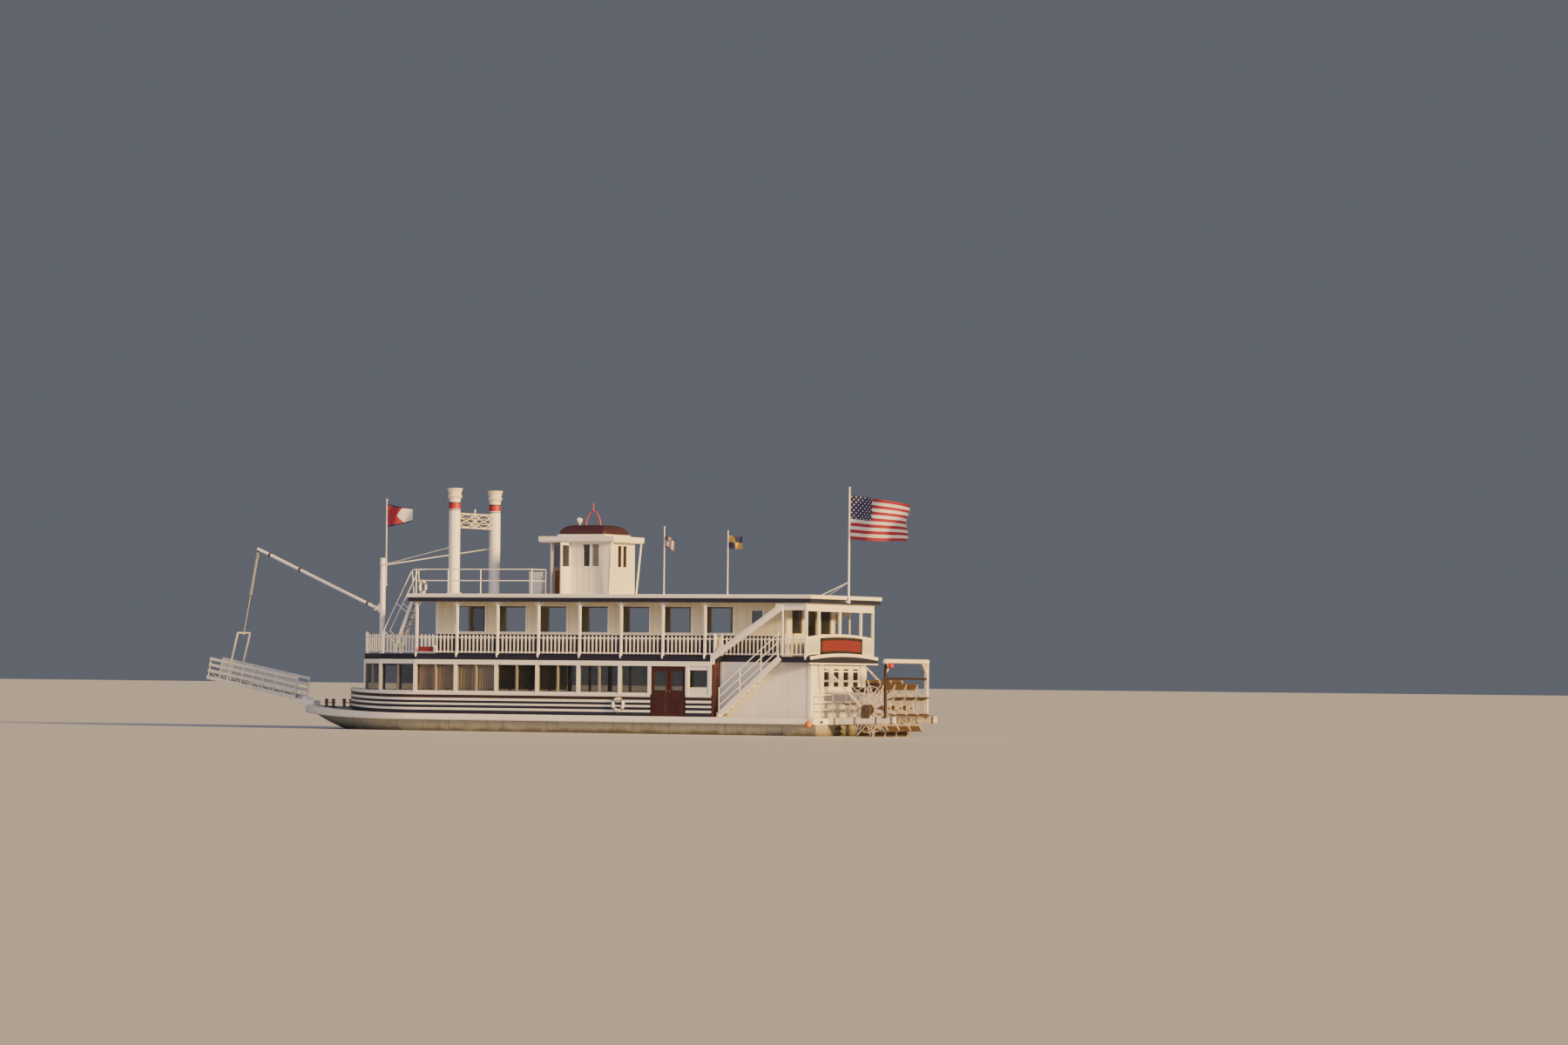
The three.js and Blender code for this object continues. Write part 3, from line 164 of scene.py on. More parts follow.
def mix(factor, a, b, blend="MIX"):
    """Two colours mixed."""
    inputs = {0: factor, 6: a, 7: b}
    return add(tree_of(factor, a, b), "ShaderNodeMix", inputs, data_type="RGBA", blend_type=blend).outputs[2]


def noise(place, scale, detail, **more):
    """Soft noise over a place, between none and one."""
    inputs = {"Vector": place, "Scale": scale, "Detail": detail, **more}
    return add(place.id_data, "ShaderNodeTexNoise", inputs).outputs["Fac"]


def drawn_out(place, by):
    """A place stretched along its axes, which draws a pattern out."""
    return add(place.id_data, "ShaderNodeMapping", {"Vector": place, "Scale": by}).outputs[0]


def bumped(height, strength, distance):
    """A surface direction that follows a height."""
    inputs = {"Height": height, "Strength": strength, "Distance": distance}
    return add(height.id_data, "ShaderNodeBump", inputs).outputs["Normal"]


def place_in(tree, which="Object"):
    """The place on a piece that patterns follow: its Object coordinates, or its UV layer's on cloth."""
    return add(tree, "ShaderNodeTexCoord").outputs[which]


def new_group(name, inputs, outputs):
    """An empty node group: a place in it, its inputs and its output node. A socket's kind follows from the
    value it starts with: one number, a direction of three or a colour of four."""
    tree = bpy.data.node_groups.new(name, "ShaderNodeTree")
    kinds = {1: "NodeSocketFloat", 3: "NodeSocketVector", 4: "NodeSocketColor"}
    for way, sockets in (("INPUT", inputs), ("OUTPUT", outputs)):
        for label, value in sockets.items():
            socket = tree.interface.new_socket(label, in_out=way, socket_type=kinds[np.size(value)])
            socket.default_value = value
    return place_in(tree), tree.nodes.new("NodeGroupInput").outputs, tree.nodes.new("NodeGroupOutput")


def weather_group():
    """Paint in the open: rain streaks run down it, broad clouds change its tone, fine grain its gloss."""
    place, given, out = new_group("weather", {
        "Paint": (1, 1, 1, 1), "Stain": (0.3, 0.2, 0.1, 1), "Amount": 0.3, "Size": 1.0, "Gloss": 0.45,
    }, {"Colour": (1, 1, 1, 1), "Roughness": 0.5, "Height": 0.0})
    down = drawn_out(place, (1, 1, 0.09))
    streaks = ramp(noise(down, times(given["Size"], 9.0), 5, Roughness=0.6), [(0.48, 0.0), (0.78, 1.0)])
    clouds = ramp(noise(place, given["Size"], 4), [(0.3, 0.0), (0.72, 1.0)])
    grain = noise(place, 85, 3)
    marks = times(plus(times(streaks, 0.75), times(clouds, 0.35)), given["Amount"])
    feed(out, {
        "Colour": mix(marks, given["Paint"], given["Stain"]),
        "Roughness": plus(plus(given["Gloss"], times(marks, 0.4)), times(grain, 0.12)),
        "Height": plus(grain, times(marks, 0.8)),
    })
    return out.id_data


def boards_group():
    """Boards laid side by side: across one direction each board has its own tone and a dark open joint."""
    place, given, out = new_group("boards", {
        "Colour": (1, 1, 1, 1), "Across": (0, 1, 0), "Width": 0.12, "Joint": 0.05, "Uneven": 0.12,
    }, {"Colour": (1, 1, 1, 1), "Height": 0.0})
    tree = out.id_data
    along = add(tree, "ShaderNodeVectorMath", {0: place, 1: given["Across"]}, operation="DOT_PRODUCT")
    count = over(along.outputs["Value"], given["Width"])
    tone = add(tree, "ShaderNodeTexWhiteNoise", {"W": whole(count)}, noise_dimensions="1D").outputs["Value"]
    gap = above(off_middle(part_of_one(count)), minus(0.5, times(given["Joint"], 0.5)))
    shade = minus(1.0, times(tone, given["Uneven"]))
    grey = add(tree, "ShaderNodeCombineColor", {0: shade, 1: shade, 2: shade}).outputs[0]
    toned = mix(1.0, given["Colour"], grey, "MULTIPLY")
    dark = mix(0.72, toned, (0.02, 0.018, 0.015, 1))
    feed(out, {"Colour": mix(gap, toned, dark), "Height": minus(1.0, gap)})
    return tree


WEATHER = weather_group()
BOARDS = boards_group()


def new_material(name):
    """A plain finish: the material and its shader."""
    made = bpy.data.materials.new(name)
    made.use_nodes = True
    return made, made.node_tree.nodes["Principled BSDF"]


def painted(name, paint, stain=(0.33, 0.25, 0.17), amount=0.3, size=0.8, gloss=0.42, across=None, width=0.12,
            joint=0.05, uneven=0.06, metal=0.0, bump=0.25):
    """A painted finish: weathered colour, boards where a direction across them is given, and a fine bump."""
    made, shader = new_material(name)
    weather = add(made.node_tree, "ShaderNodeGroup", {
        "Paint": (*paint, 1), "Stain": (*stain, 1), "Amount": amount, "Size": size, "Gloss": gloss,
    }, node_tree=WEATHER).outputs
    colour, height = weather["Colour"], weather["Height"]
    if across is not None:
        boards = add(made.node_tree, "ShaderNodeGroup", {
            "Colour": colour, "Across": across, "Width": width, "Joint": joint, "Uneven": uneven,
        }, node_tree=BOARDS).outputs
        colour, height = boards["Colour"], plus(times(boards["Height"], 2.5), height)
    feed(shader, {"Base Color": colour, "Roughness": weather["Roughness"], "Metallic": metal,
                  "Normal": bumped(height, bump, 0.004)})
    return made


FLOOR_HALF = 900.0
corners = np.array([(-1, -1, 0), (1, -1, 0), (1, 1, 0), (-1, 1, 0)]) * FLOOR_HALF
floor_mesh = bpy.data.meshes.new("floor")
floor_mesh.from_pydata(corners.tolist(), [], [(0, 1, 2, 3)])
floor = bpy.data.objects.new("floor", floor_mesh)
bpy.context.scene.collection.objects.link(floor)
floor_mesh.materials.append(painted("pale_floor", (0.62, 0.66, 0.72), (0.5, 0.52, 0.56), 0.12, 0.2, 0.6))


# Hull: a shallow steel hull, its plan straight to the first post and then an arc to the stem. A broad guard
# carries the main deck past the hull's side. Plates are welded, the deck is boarded and painted.
def places(*coordinates):
    """Points from their coordinates, where a single number holds for all of them."""
    return np.stack(np.broadcast_arrays(*coordinates), -1).astype(float)


def grid_faces(rows, columns, round_rows=False, round_columns=False):
    """Quads between neighbours of a rows by columns grid of points, closed round where asked."""
    i, j = np.meshgrid(np.arange(rows if round_rows else rows - 1),
                       np.arange(columns if round_columns else columns - 1), indexing="ij")
    i, j = i.ravel(), j.ravel()
    after, beside = (i + 1) % rows, (j + 1) % columns
    return np.stack([i * columns + j, i * columns + beside, after * columns + beside, after * columns + j],
                    1).tolist()


def shell_faces(rows, columns, ring=False):
    """Faces between rings of points, with a face over each end unless the last ring meets the first."""
    end = np.arange(columns)
    ends = [] if ring else [end[::-1].tolist(), (end + (rows - 1) * columns).tolist()]
    return grid_faces(rows, columns, ring, True) + ends


def shell(rings, number=0, ring=False):
    """A closed part from rings of points; the number is its material."""
    return rings.reshape(-1, 3), shell_faces(*rings.shape[:2], ring), number


def repeated(points, faces, number=0):
    """A part of many like shapes: the points of each, and the faces that they all have."""
    starts = np.arange(len(points)) * points.shape[1]
    return points.reshape(-1, 3), [[v + start for v in face] for start in starts for face in faces], number


def piece(name, parts, materials, body="root", stands_for=(), crease=32):
    """One object from parts of points, faces and a material number for each or all faces. Faces are turned to
    point out of every closed shell, and edges that bend by more than the crease, in degrees, stay sharp."""
    starts = np.cumsum([0] + [len(points) for points, _, _ in parts])
    faces = [[v + start for v in face] for (_, quads, _), start in zip(parts, starts) for face in quads]
    numbers = np.concatenate([np.broadcast_to(number, len(quads)) for _, quads, number in parts])
    mesh = bpy.data.meshes.new(name)
    mesh.from_pydata(np.concatenate([points for points, _, _ in parts]).tolist(), [], faces)
    for material in materials:
        mesh.materials.append(material)
    mesh.polygons.foreach_set("material_index", numbers.astype(np.int32))
    mesh.polygons.foreach_set("use_smooth", [True] * len(faces))
    work = bmesh.new()
    work.from_mesh(mesh)
    bmesh.ops.recalc_face_normals(work, faces=work.faces)
    work.to_mesh(mesh)
    work.free()
    mesh.set_sharp_from_angle(angle=math.radians(crease))
    made = bpy.data.objects.new(name, mesh)
    bpy.context.scene.collection.objects.link(made)
    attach(made, body)
    if stands_for:
        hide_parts(*stands_for)
    return made


def timber_pattern():
    """A box with planed edges: each corner has three points, each out on one axis and pulled in on the
    others, in rings of 4, 8, 8 and 4 going up the box. Gives the points' signs and axes, and the faces."""
    four = np.array([(1, 1, -1), (-1, 1, -1), (-1, -1, -1), (1, -1, -1)], float)
    eight = np.repeat(four, 2, 0)
    flip = np.array((1, 1, -1))
    signs = np.concatenate([four, eight, eight * flip, four * flip])
    axes = [2] * 4 + [0, 1, 1, 0] * 4 + [2] * 4
    index = np.concatenate([np.repeat(np.arange(4), 2), np.arange(4, 20), np.repeat(np.arange(20, 24), 2)])
    faces = [list(dict.fromkeys(index[face].tolist())) for face in grid_faces(4, 8, False, True)]
    return signs, axes, faces + [[3, 2, 1, 0], [20, 21, 22, 23]]


SIGNS, AXES, TIMBER_FACES = timber_pattern()


def timbers(middles, halves, edge=0.006, axes=None, number=0):
    """Boxes with planed edges: middle plus sign times half size, less the planed edge off one face's plane.
    axes gives each box's own three directions, as rows."""
    middles = np.asarray(middles, float).reshape(-1, 3)
    halves = np.broadcast_to(np.asarray(halves, float), middles.shape)
    pull = np.ones((24, 3))
    pull[np.arange(24), AXES] = 0
    edge = np.minimum(edge, halves.min(1) * 0.45)[:, None, None]
    local = SIGNS * (halves[:, None, :] - edge * pull)
    if axes is not None:
        local = np.einsum("nvk,nkc->nvc", local, np.broadcast_to(axes, (len(middles), 3, 3)))
    return repeated(middles[:, None] + local, TIMBER_FACES, number)


def box(x0, x1, y0, y1, z0, z1, edge=0.006, number=0):
    """One planed box between two opposite corners."""
    first, second = np.array((x0, y0, z0)), np.array((x1, y1, z1))
    return timbers((first + second) / 2, abs(second - first) / 2, edge, None, number)


def directions(starts, ends, top=(0, 0, 1)):
    """For each bar its length, middle and three directions: along, across and up from a rough top."""
    starts, ends = (np.atleast_2d(np.asarray(given, float)) for given in (starts, ends))
    run = ends - starts
    length = np.linalg.norm(run, axis=1)
    along = run / length[:, None]
    side = np.cross(np.broadcast_to(top, along.shape), along)
    plumb = np.linalg.norm(side, axis=1) < 1e-6
    side[plumb] = np.cross((1, 0, 0), along[plumb])
    side /= np.linalg.norm(side, axis=1)[:, None]
    return length, (starts + ends) / 2, np.stack([along, side, np.cross(along, side)], 1)


def circles(axes, sides):
    """A circle square to each bar: cos and sin of even turns about the bar's own axis."""
    turn = np.arange(sides)[:, None] * 2 * np.pi / sides
    return np.cos(turn) * axes[:, None, 1] + np.sin(turn) * axes[:, None, 2]


def rods(starts, ends, radius, sides=10, number=0):
    """Round rods from point to point, with a circle at each end."""
    starts, ends = (np.atleast_2d(np.asarray(given, float)) for given in (starts, ends))
    ring = radius * circles(directions(starts, ends)[2], sides)
    points = np.concatenate([starts[:, None] + ring, ends[:, None] + ring], 1)
    return repeated(points, shell_faces(2, sides), number)


def turned(profile, middle=(0, 0, 0), sides=40, number=0, lobes=0, depth=0.0):
    """A turned shape: a profile of (radius, height) spun round a plumb axis. Lobes wave the radius by the
    depth times the profile's third value."""
    radius, height, share = np.array([(*point, 1.0)[:3] for point in profile]).T[:, :, None]
    turn = np.arange(sides) * 2 * np.pi / sides
    radius = radius * (1 + depth * share * np.cos(lobes * turn))
    return shell(places(radius * np.cos(turn), radius * np.sin(turn), height) + middle, number)


def carried(profile, middle, outward, lift, numbers=0):
    """A closed profile of (outwards, up) carried along plan stations: middle plus outward times the first,
    lift plus the second, with an end face at each end. Numbers may name a material for each side."""
    profile, middle, outward = (np.asarray(given, float) for given in (profile, middle, outward))
    flat = middle[:, None, :2] + outward[:, None, :] * profile[None, :, 0:1]
    height = np.reshape(lift, (len(flat), -1)) + profile[:, 1]
    if not np.isscalar(numbers):
        numbers = numbers * (len(flat) - 1) + numbers[:1] * 2
    return shell(np.dstack([flat, height]), numbers)


FIRST_POST = 6.4
STEM_X = 13.263
SHEER = 0.298
MAIN_DECK = 0.69
GUARD_FOOT = 0.444
HALF_GUARD = 3.2
TRANSOM = -11.2
HULL_LEVELS = np.array([
    # height, share of the sheer, half-beam, where the arc starts, stem, stern
    (-0.90, 0, 0.15, 4.5, 8.5, -9.6),
    (-0.88, 0, 1.60, 4.5, 8.8, -9.8),
    (-0.80, 0, 2.30, 4.6, 9.0, -10.0),
    (-0.55, 0, 2.80, 5.0, 10.0, -10.7),
    (0.00, 0, 2.98, 5.7, 11.4, TRANSOM),
    (0.22, 0.3, 3.005, 5.95, 12.15, TRANSOM),
    (GUARD_FOOT, 0.65, 3.03, 6.2, 12.8, TRANSOM),
    (GUARD_FOOT + 0.01, 0.65, 3.17, 6.4, 13.23, TRANSOM),
    (MAIN_DECK - 0.004, 1, 3.17, 6.4, 13.23, TRANSOM),
])


def sheer(x):
    """The deck's rise: none as far as the first post, then the square of the way to the stem."""
    return SHEER * np.clip((np.asarray(x) - FIRST_POST) / (STEM_X - FIRST_POST), 0, None) ** 2


def plan_line(half, tangent, tip, stern, straight=8, steps=56):
    """A plan line from the stern round the stem and back, with its outward directions: each half runs
    straight, then in a tangent arc to the stem."""
    radius = ((tip - tangent) ** 2 + half ** 2) / (2 * half)
    turn = np.linspace(0, math.asin((tip - tangent) / radius), steps)
    side = np.full(straight - 1, half)
    x = np.concatenate([np.linspace(stern, tangent, straight)[:-1], tangent + radius * np.sin(turn)])
    y = np.concatenate([side, half - radius * (1 - np.cos(turn))])
    out = places(np.concatenate([0 * side, np.sin(turn)]), np.concatenate([0 * side + 1, np.cos(turn)]))
    y[-1] = 0
    out[-1] = (1 / out[-1, 0], 0)
    return [np.concatenate([port, port[-2::-1] * (1, -1)]) for port in (places(x, y), out)]


def fan(count, start):
    """Faces across a ring whose second half mirrors its first."""
    half = (count - 1) // 2
    i = np.arange(half - 1)
    quads = np.stack([i, i + 1, count - 2 - i, count - 1 - i], 1) + start
    return quads.tolist() + [[start + half - 1, start + half, start + half + 1]]


def hull_shell():
    """Rings of plan lines, one a level, each lifted by its share of the sheer, closed by bottom and deck."""
    rings = []
    for height, share, *plan in HULL_LEVELS:
        line, _ = plan_line(*plan)
        rings.append(np.column_stack([line, height + share * sheer(line[:, 0])]))
    rows, columns = len(rings), len(rings[0])
    sides, top = grid_faces(rows, columns, False, True) + fan(columns, 0), fan(columns, (rows - 1) * columns)
    return np.concatenate(rings), sides + top, [0] * len(sides) + [2] * len(top)


def guard_rim():
    """The guard's round-nosed edge, carried along the deck's plan; its foot has a share of the sheer."""
    line, out = plan_line(HALF_GUARD, FIRST_POST, STEM_X, TRANSOM)
    profile = [(-0.26, GUARD_FOOT), (-0.03, GUARD_FOOT), (0, GUARD_FOOT + 0.035), (0, MAIN_DECK - 0.035),
               (-0.012, MAIN_DECK - 0.008), (-0.035, MAIN_DECK), (-0.26, MAIN_DECK)]
    return carried(profile, line, out, np.outer(sheer(line[:, 0]), (0.65, 0.65, 0.68, 0.9, 1, 1, 1)), 1)


def hull_stain_and_shade():
    """Hull paint over plates: seams at even stations; weed, scum and painted shade up from the waterline."""
    made = painted("hull_paint", (0.34, 0.33, 0.27), (0.16, 0.13, 0.09), 0.62, 0.55, 0.5, (1, 0, 0), 2.44,
                   0.012, 0.1)
    colour = made.node_tree.nodes["Principled BSDF"].inputs["Base Color"]
    place = place_in(made.node_tree)
    height = add(made.node_tree, "ShaderNodeSeparateXYZ", {0: place}).outputs["Z"]
    # Darker towards the waterline: partly weed and scum, partly painted shade on the low hull.
    level = minus(height, times(noise(place, 2.2, 6), 0.34))
    low = ramp(plus(level, 0.5), [(0.38, 1.0), (0.50, 0.35), (0.66, 0.0)])
    made.node_tree.links.new(mix(low, colour.links[0].from_socket, (0.10, 0.085, 0.06, 1)), colour)
    return made


BITT_X, BITT_Y = 11.7, 0.7
BITT_POST = [(0.075, 0), (0.06, 0.03), (0.056, 0.2), (0.06, 0.24), (0.078, 0.26), (0.078, 0.31), (0.05, 0.33)]


def bitt_pair(y):
    """Two turned posts with capped heads and a cross bar, on a base plate."""
    foot = MAIN_DECK + float(sheer(BITT_X)) - 0.02
    aft, fore = BITT_X - 0.26, BITT_X + 0.26
    return [box(aft, fore, y - 0.09, y + 0.09, foot, foot + 0.05, 0.012, 3),
            *[turned(BITT_POST, (x, y, foot + 0.03), 20, 3) for x in (BITT_X - 0.16, BITT_X + 0.16)],
            rods((aft, y, foot + 0.2), (fore, y, foot + 0.2), 0.022, 10, 3)]


def finish(material, *nodes):
    """Solids that show as they are get their finish."""
    for node in nodes:
        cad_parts[node].material_slots[0].material = material


WHITE = painted("white_paint", (0.80, 0.79, 0.765), (0.42, 0.36, 0.29), 0.26, 0.9, 0.4)
DECK_PAINT = painted("deck_paint", (0.30, 0.29, 0.28), (0.12, 0.10, 0.08), 0.45, 0.7, 0.6, (0, 1, 0), 0.14,
                     0.06, 0.25)
STEEL = painted("dark_steel", (0.05, 0.05, 0.055), (0.25, 0.12, 0.06), 0.35, 3.0, 0.45, metal=0.35)
NOSE_X, FAIRLEAD_Z = 13.133, GUARD_FOOT + 0.1
rudder_lugs = [box(-11.41, -11.19, y + side - 0.013, y + side + 0.013, z, z + 0.08, 0.004, 3)
               for y in (1.15, -1.15) for z in (0.24, 0.06) for side in (-0.06, 0.06)]
stage_lugs = [box(NOSE_X - 0.06, 13.39, side * 0.16, side * 0.22, 0.96, 1.285, 0.02, 1) for side in (-1, 1)]
piece("hull_plating", [
    hull_shell(), guard_rim(),
    box(TRANSOM - 0.02, TRANSOM + 0.24, -3.19, 3.19, GUARD_FOOT, MAIN_DECK, 0.02, 1),
    box(-9.5, 8.3, -0.06, 0.06, -1.0, -0.85, 0.01, 0),
    *bitt_pair(BITT_Y), *bitt_pair(-BITT_Y), *rudder_lugs, *stage_lugs,
    box(NOSE_X - 0.42, NOSE_X + 0.06, -0.26, 0.26, 0.87, 1.135, 0.02, 1),
    rods(places(-11.3, (-2.6, 2.6), FAIRLEAD_Z), places(-11.19, (-2.6, 2.6), FAIRLEAD_Z), 0.05, 14, 3),
], [hull_stain_and_shade(), WHITE, DECK_PAINT, STEEL], stands_for=("hull",))
finish(STEEL, "rudder_port", "rudder_starboard")


# Bulwark: navy boards with three white half-round strakes and a white cap, from door to door round the bow.
# The same boards stand abaft the doors. The cap is rounded over and the top strip is nearly black.
HALF_HOUSE = 3.077
STRAKES = [(0.837, 0.927), (1.037, 1.116), (1.216, 1.312)]
CAP_FOOT, SILL = 1.436, 1.536
DOORWAY = (-5.65, -4.105)
BULKHEAD = -6.76
BULWARK_TIP = 11.09
NAVY = painted("navy_paint", (0.009, 0.011, 0.034), (0.05, 0.05, 0.08), 0.30, 0.9, 0.34)
DARK_BAND = painted("oxblood_paint", (0.024, 0.010, 0.016), (0.06, 0.04, 0.05), 0.3, 0.9, 0.34)
MAROON = painted("maroon_paint", (0.040, 0.006, 0.008), (0.05, 0.03, 0.03), 0.35, 1.1, 0.30)
SIDES = ((1, "port"), (-1, "starboard"))

boards, paints = [(0, MAIN_DECK + 0.001)], [0]
for foot, head in STRAKES:
    boards += [(0, foot), (0.010, foot + 0.002), (0.016, foot + 0.02), (0.016, head - 0.02),
               (0.010, head - 0.002), (0, head)]
    paints += [1, 1, 1, 1, 1, 0]
paints[-1] = 2
boards += [(0, CAP_FOOT), (0.028, CAP_FOOT + 0.004), (0.036, CAP_FOOT + 0.03), (0.036, SILL - 0.02),
           (0.024, SILL + 0.002), (-0.07, SILL + 0.002), (-0.078, SILL - 0.02), (-0.075, CAP_FOOT + 0.02),
           (-0.06, CAP_FOOT), (-0.06, MAIN_DECK + 0.001)]
paints += [1] * 8 + [0] * 2
line, out = plan_line(HALF_HOUSE, FIRST_POST, BULWARK_TIP, DOORWAY[1], 12, 48)
piece("bulwark_boards", [carried(boards, line, out, sheer(line[:, 0]), paints)], [NAVY, WHITE, DARK_BAND],
      stands_for=("bulwark",), crease=25)

returns = [carried(boards, [(x, s * HALF_HOUSE) for x in (BULKHEAD, DOORWAY[0])], [(0, s)] * 2, [0, 0],
                   paints)
           for s in (1, -1)]
panels = [box(-6.858, -6.838, s * y0, s * y1, z0, z1, 0.012, 3)
          for s in (1, -1) for y0, y1 in ((2.56, 2.76), (2.80, 3.0))
          for z0, z1 in ((0.82, 1.55), (1.65, 2.6))]
piece("after_bulkhead_boards", returns + panels + [
    box(BULKHEAD - 0.08, BULKHEAD - 0.001, -HALF_HOUSE, HALF_HOUSE, MAIN_DECK + 0.001, 2.825, 0.004, 3),
], [NAVY, WHITE, DARK_BAND, MAROON], stands_for=("after_bulkhead",), crease=25)


# Main-deck house: plywood walls painted white, with cased lights two to a bay, a header under the deck,
# pilasters over the posts, and dark glass set in. The bow has five flat faces and a doorway.
BAY = 1.83
WINDOW_FOOT, WINDOW_HEAD = 1.6, 2.65
DECK_FOOT = 2.824
POST, MULLION = 0.14, 0.06
BOW_X = 9.31
BOW_CORNERS = np.array([(6.4, 3.077), (8.196, 2.728), (BOW_X, 2.075)])


def dark_glass():
    """Window glass: a thin dark film that lets most light by, nearly smooth, with faint waves in it."""
    made, shader = new_material("dark_glass")
    wave = noise(place_in(made.node_tree), 2.5, 2)
    feed(shader, {"Base Color": ramp(wave, [(0.3, (0.020, 0.028, 0.026)), (0.7, (0.045, 0.045, 0.038))]),
                  "Normal": bumped(wave, 0.12, 0.02), "Roughness": 0.04, "IOR": 1.5, "Alpha": 0.30})
    return made


GLASS = dark_glass()
# The sashes' dark grey is partly the alloy's own colour and partly painted shade on the recessed frames.
SASH_GREY_AND_SHADE = painted("sash_alloy_and_shade", (0.24, 0.235, 0.23), (0.12, 0.10, 0.08), 0.35, 3.0, 0.4, metal=0.2)


def wall_line(left, right):
    """Walls from left to right as seen from outside: both ends, and the directions along and out of each."""
    left, right = (np.atleast_2d(given).astype(float) for given in (left, right))
    along = (right - left) / np.linalg.norm(right - left, axis=1)[:, None]
    return left, right, along, places(along[:, 1], -along[:, 0])


def flat_bars(left, right, low, high, deep, proud, edge=0.005, number=0):
    """Boards on walls from left to right plan points, low to high, their faces proud by so much."""
    left, right, _, out = wall_line(left, right)
    shift = out * (proud - deep / 2)
    ends = [np.column_stack([end + shift, np.full(len(left), (low + high) / 2)]) for end in (left, right)]
    length, centre, axes = directions(*ends)
    return timbers(centre, places(length / 2, deep / 2, (high - low) / 2), edge, axes, number)


def casings(left, right, foot, head, face=0.045, deep=0.06, proud=0.012, number=0):
    """A frame round each opening: head and sill boards over it, and two upright boards between."""
    left, right, along, _ = wall_line(left, right)
    return [flat_bars(*span, deep, proud, number=number) for span in (
        (left, right, head - face, head), (left, right, foot, foot + face),
        (left, left + along * face, foot + face, head - face),
        (right - along * face, right, foot + face, head - face))]


def panes(left, right, foot, head, set_in=0.035, number=1):
    """A thin pane in each opening, set in behind the wall's face."""
    return flat_bars(left, right, foot, head, 0.006, -set_in, 0.001, number)


def side_points(side, y, *pairs):
    """Left and right plan points, seen from outside, of openings between aft and fore on a long side."""
    aft, fore = (places(x, side * y) for x in np.array(pairs, float).T)
    return (fore, aft) if side > 0 else (aft, fore)


posts = FIRST_POST - BAY * np.arange(6)
middles = (posts[:-1] + posts[1:]) / 2
lights = [*zip(posts[1:] + POST / 2, middles - MULLION / 2),
          *zip(middles + MULLION / 2, posts[:-1] - POST / 2),
          (DOORWAY[1] + POST / 2, posts[-1] - POST / 2)]
pilasters = [(x - POST / 2, x + POST / 2)
             for x in (*posts, DOORWAY[1] + 0.05, DOORWAY[0] - 0.05, BULKHEAD + 0.07)]
for side, word in SIDES:
    wall = partial(side_points, side, HALF_HOUSE)
    whole_side, after_light = wall((BULKHEAD, FIRST_POST)), wall((-6.62, -5.75))
    piece(f"saloon_trim_{word}", [
        *casings(*wall(*lights), WINDOW_FOOT, WINDOW_HEAD, 0.016, 0.05, 0.004, 2),
        # A grey strip over each middle mullion, its darkness partly painted shade.
        flat_bars(*wall(*zip(middles - MULLION / 2, middles + MULLION / 2)), WINDOW_FOOT, WINDOW_HEAD, 0.01,
                  0.006, 0.002, 2),
        *casings(*after_light, 1.777, 2.535), panes(*after_light, 1.777, 2.535),
        flat_bars(*wall(*pilasters), SILL, WINDOW_HEAD, 0.03, 0.022),
        flat_bars(*whole_side, WINDOW_HEAD, DECK_FOOT, 0.03, 0.026),
        flat_bars(*whole_side, WINDOW_HEAD - 0.012, WINDOW_HEAD + 0.022, 0.05, 0.04),
    ], [WHITE, GLASS, SASH_GREY_AND_SHADE])

bow_left = np.concatenate([BOW_CORNERS[1:], BOW_CORNERS[:2] * (1, -1), [(BOW_X, -2.075)]])
bow_right = np.concatenate([BOW_CORNERS[:2], BOW_CORNERS[1:] * (1, -1), [(BOW_X, 2.075)]])
_, _, bow_along, _ = wall_line(bow_left, bow_right)
bow_length = np.linalg.norm(bow_right - bow_left, axis=1)[:, None]


def on_bow(share, shift=0.0):
    """Points on the bow's faces: a share of each face's length from its left end, and a shift more."""
    return bow_left + bow_along * (bow_length * share + shift)


light_left = np.concatenate([on_bow(0, 0.09)[:4], on_bow(0.5, 0.03)[:4], [(BOW_X, -1.9), (BOW_X, 0.76)]])
light_right = np.concatenate([on_bow(0.5, -0.03)[:4], on_bow(1, -0.09)[:4], [(BOW_X, -0.76), (BOW_X, 1.9)]])
piece("bow_house_trim", [
    *casings(light_left, light_right, WINDOW_FOOT, WINDOW_HEAD, 0.016, 0.05, 0.004, 2),
    panes(light_left, light_right, WINDOW_FOOT, WINDOW_HEAD),
    flat_bars(on_bow(0.5, -0.03)[:4], on_bow(0.5, 0.03)[:4], WINDOW_FOOT, WINDOW_HEAD, 0.01, 0.006, 0.002, 2),
    flat_bars(bow_left, bow_right, WINDOW_HEAD, DECK_FOOT, 0.03, 0.026),
    flat_bars(bow_left, on_bow(0, 0.085), SILL + 0.08, WINDOW_HEAD, 0.03, 0.022),
    flat_bars(on_bow(1, -0.085), bow_right, SILL + 0.08, WINDOW_HEAD, 0.03, 0.022),
    *casings((BOW_X, -0.6), (BOW_X, 0.6), 0.80, WINDOW_HEAD, 0.07, 0.1, 0.02),
], [WHITE, GLASS, SASH_GREY_AND_SHADE])
finish(WHITE, "window_wall_port", "window_wall_starboard", "bow_wall")
finish(GLASS, "glass_port", "glass_starboard")


# Doors and machinery house: panelled maroon leaves with a dark light in each, and plywood walls painted
# white. The after wall has four lights with sashes, corner boards and a pipe rail before it; the engine is
# a grey casing.
LEAF = 0.7365
LEAF_FACE = 3.0545
BRASS = painted("worn_brass", (0.55, 0.38, 0.13), (0.18, 0.12, 0.05), 0.4, 4.0, 0.28, metal=0.9)


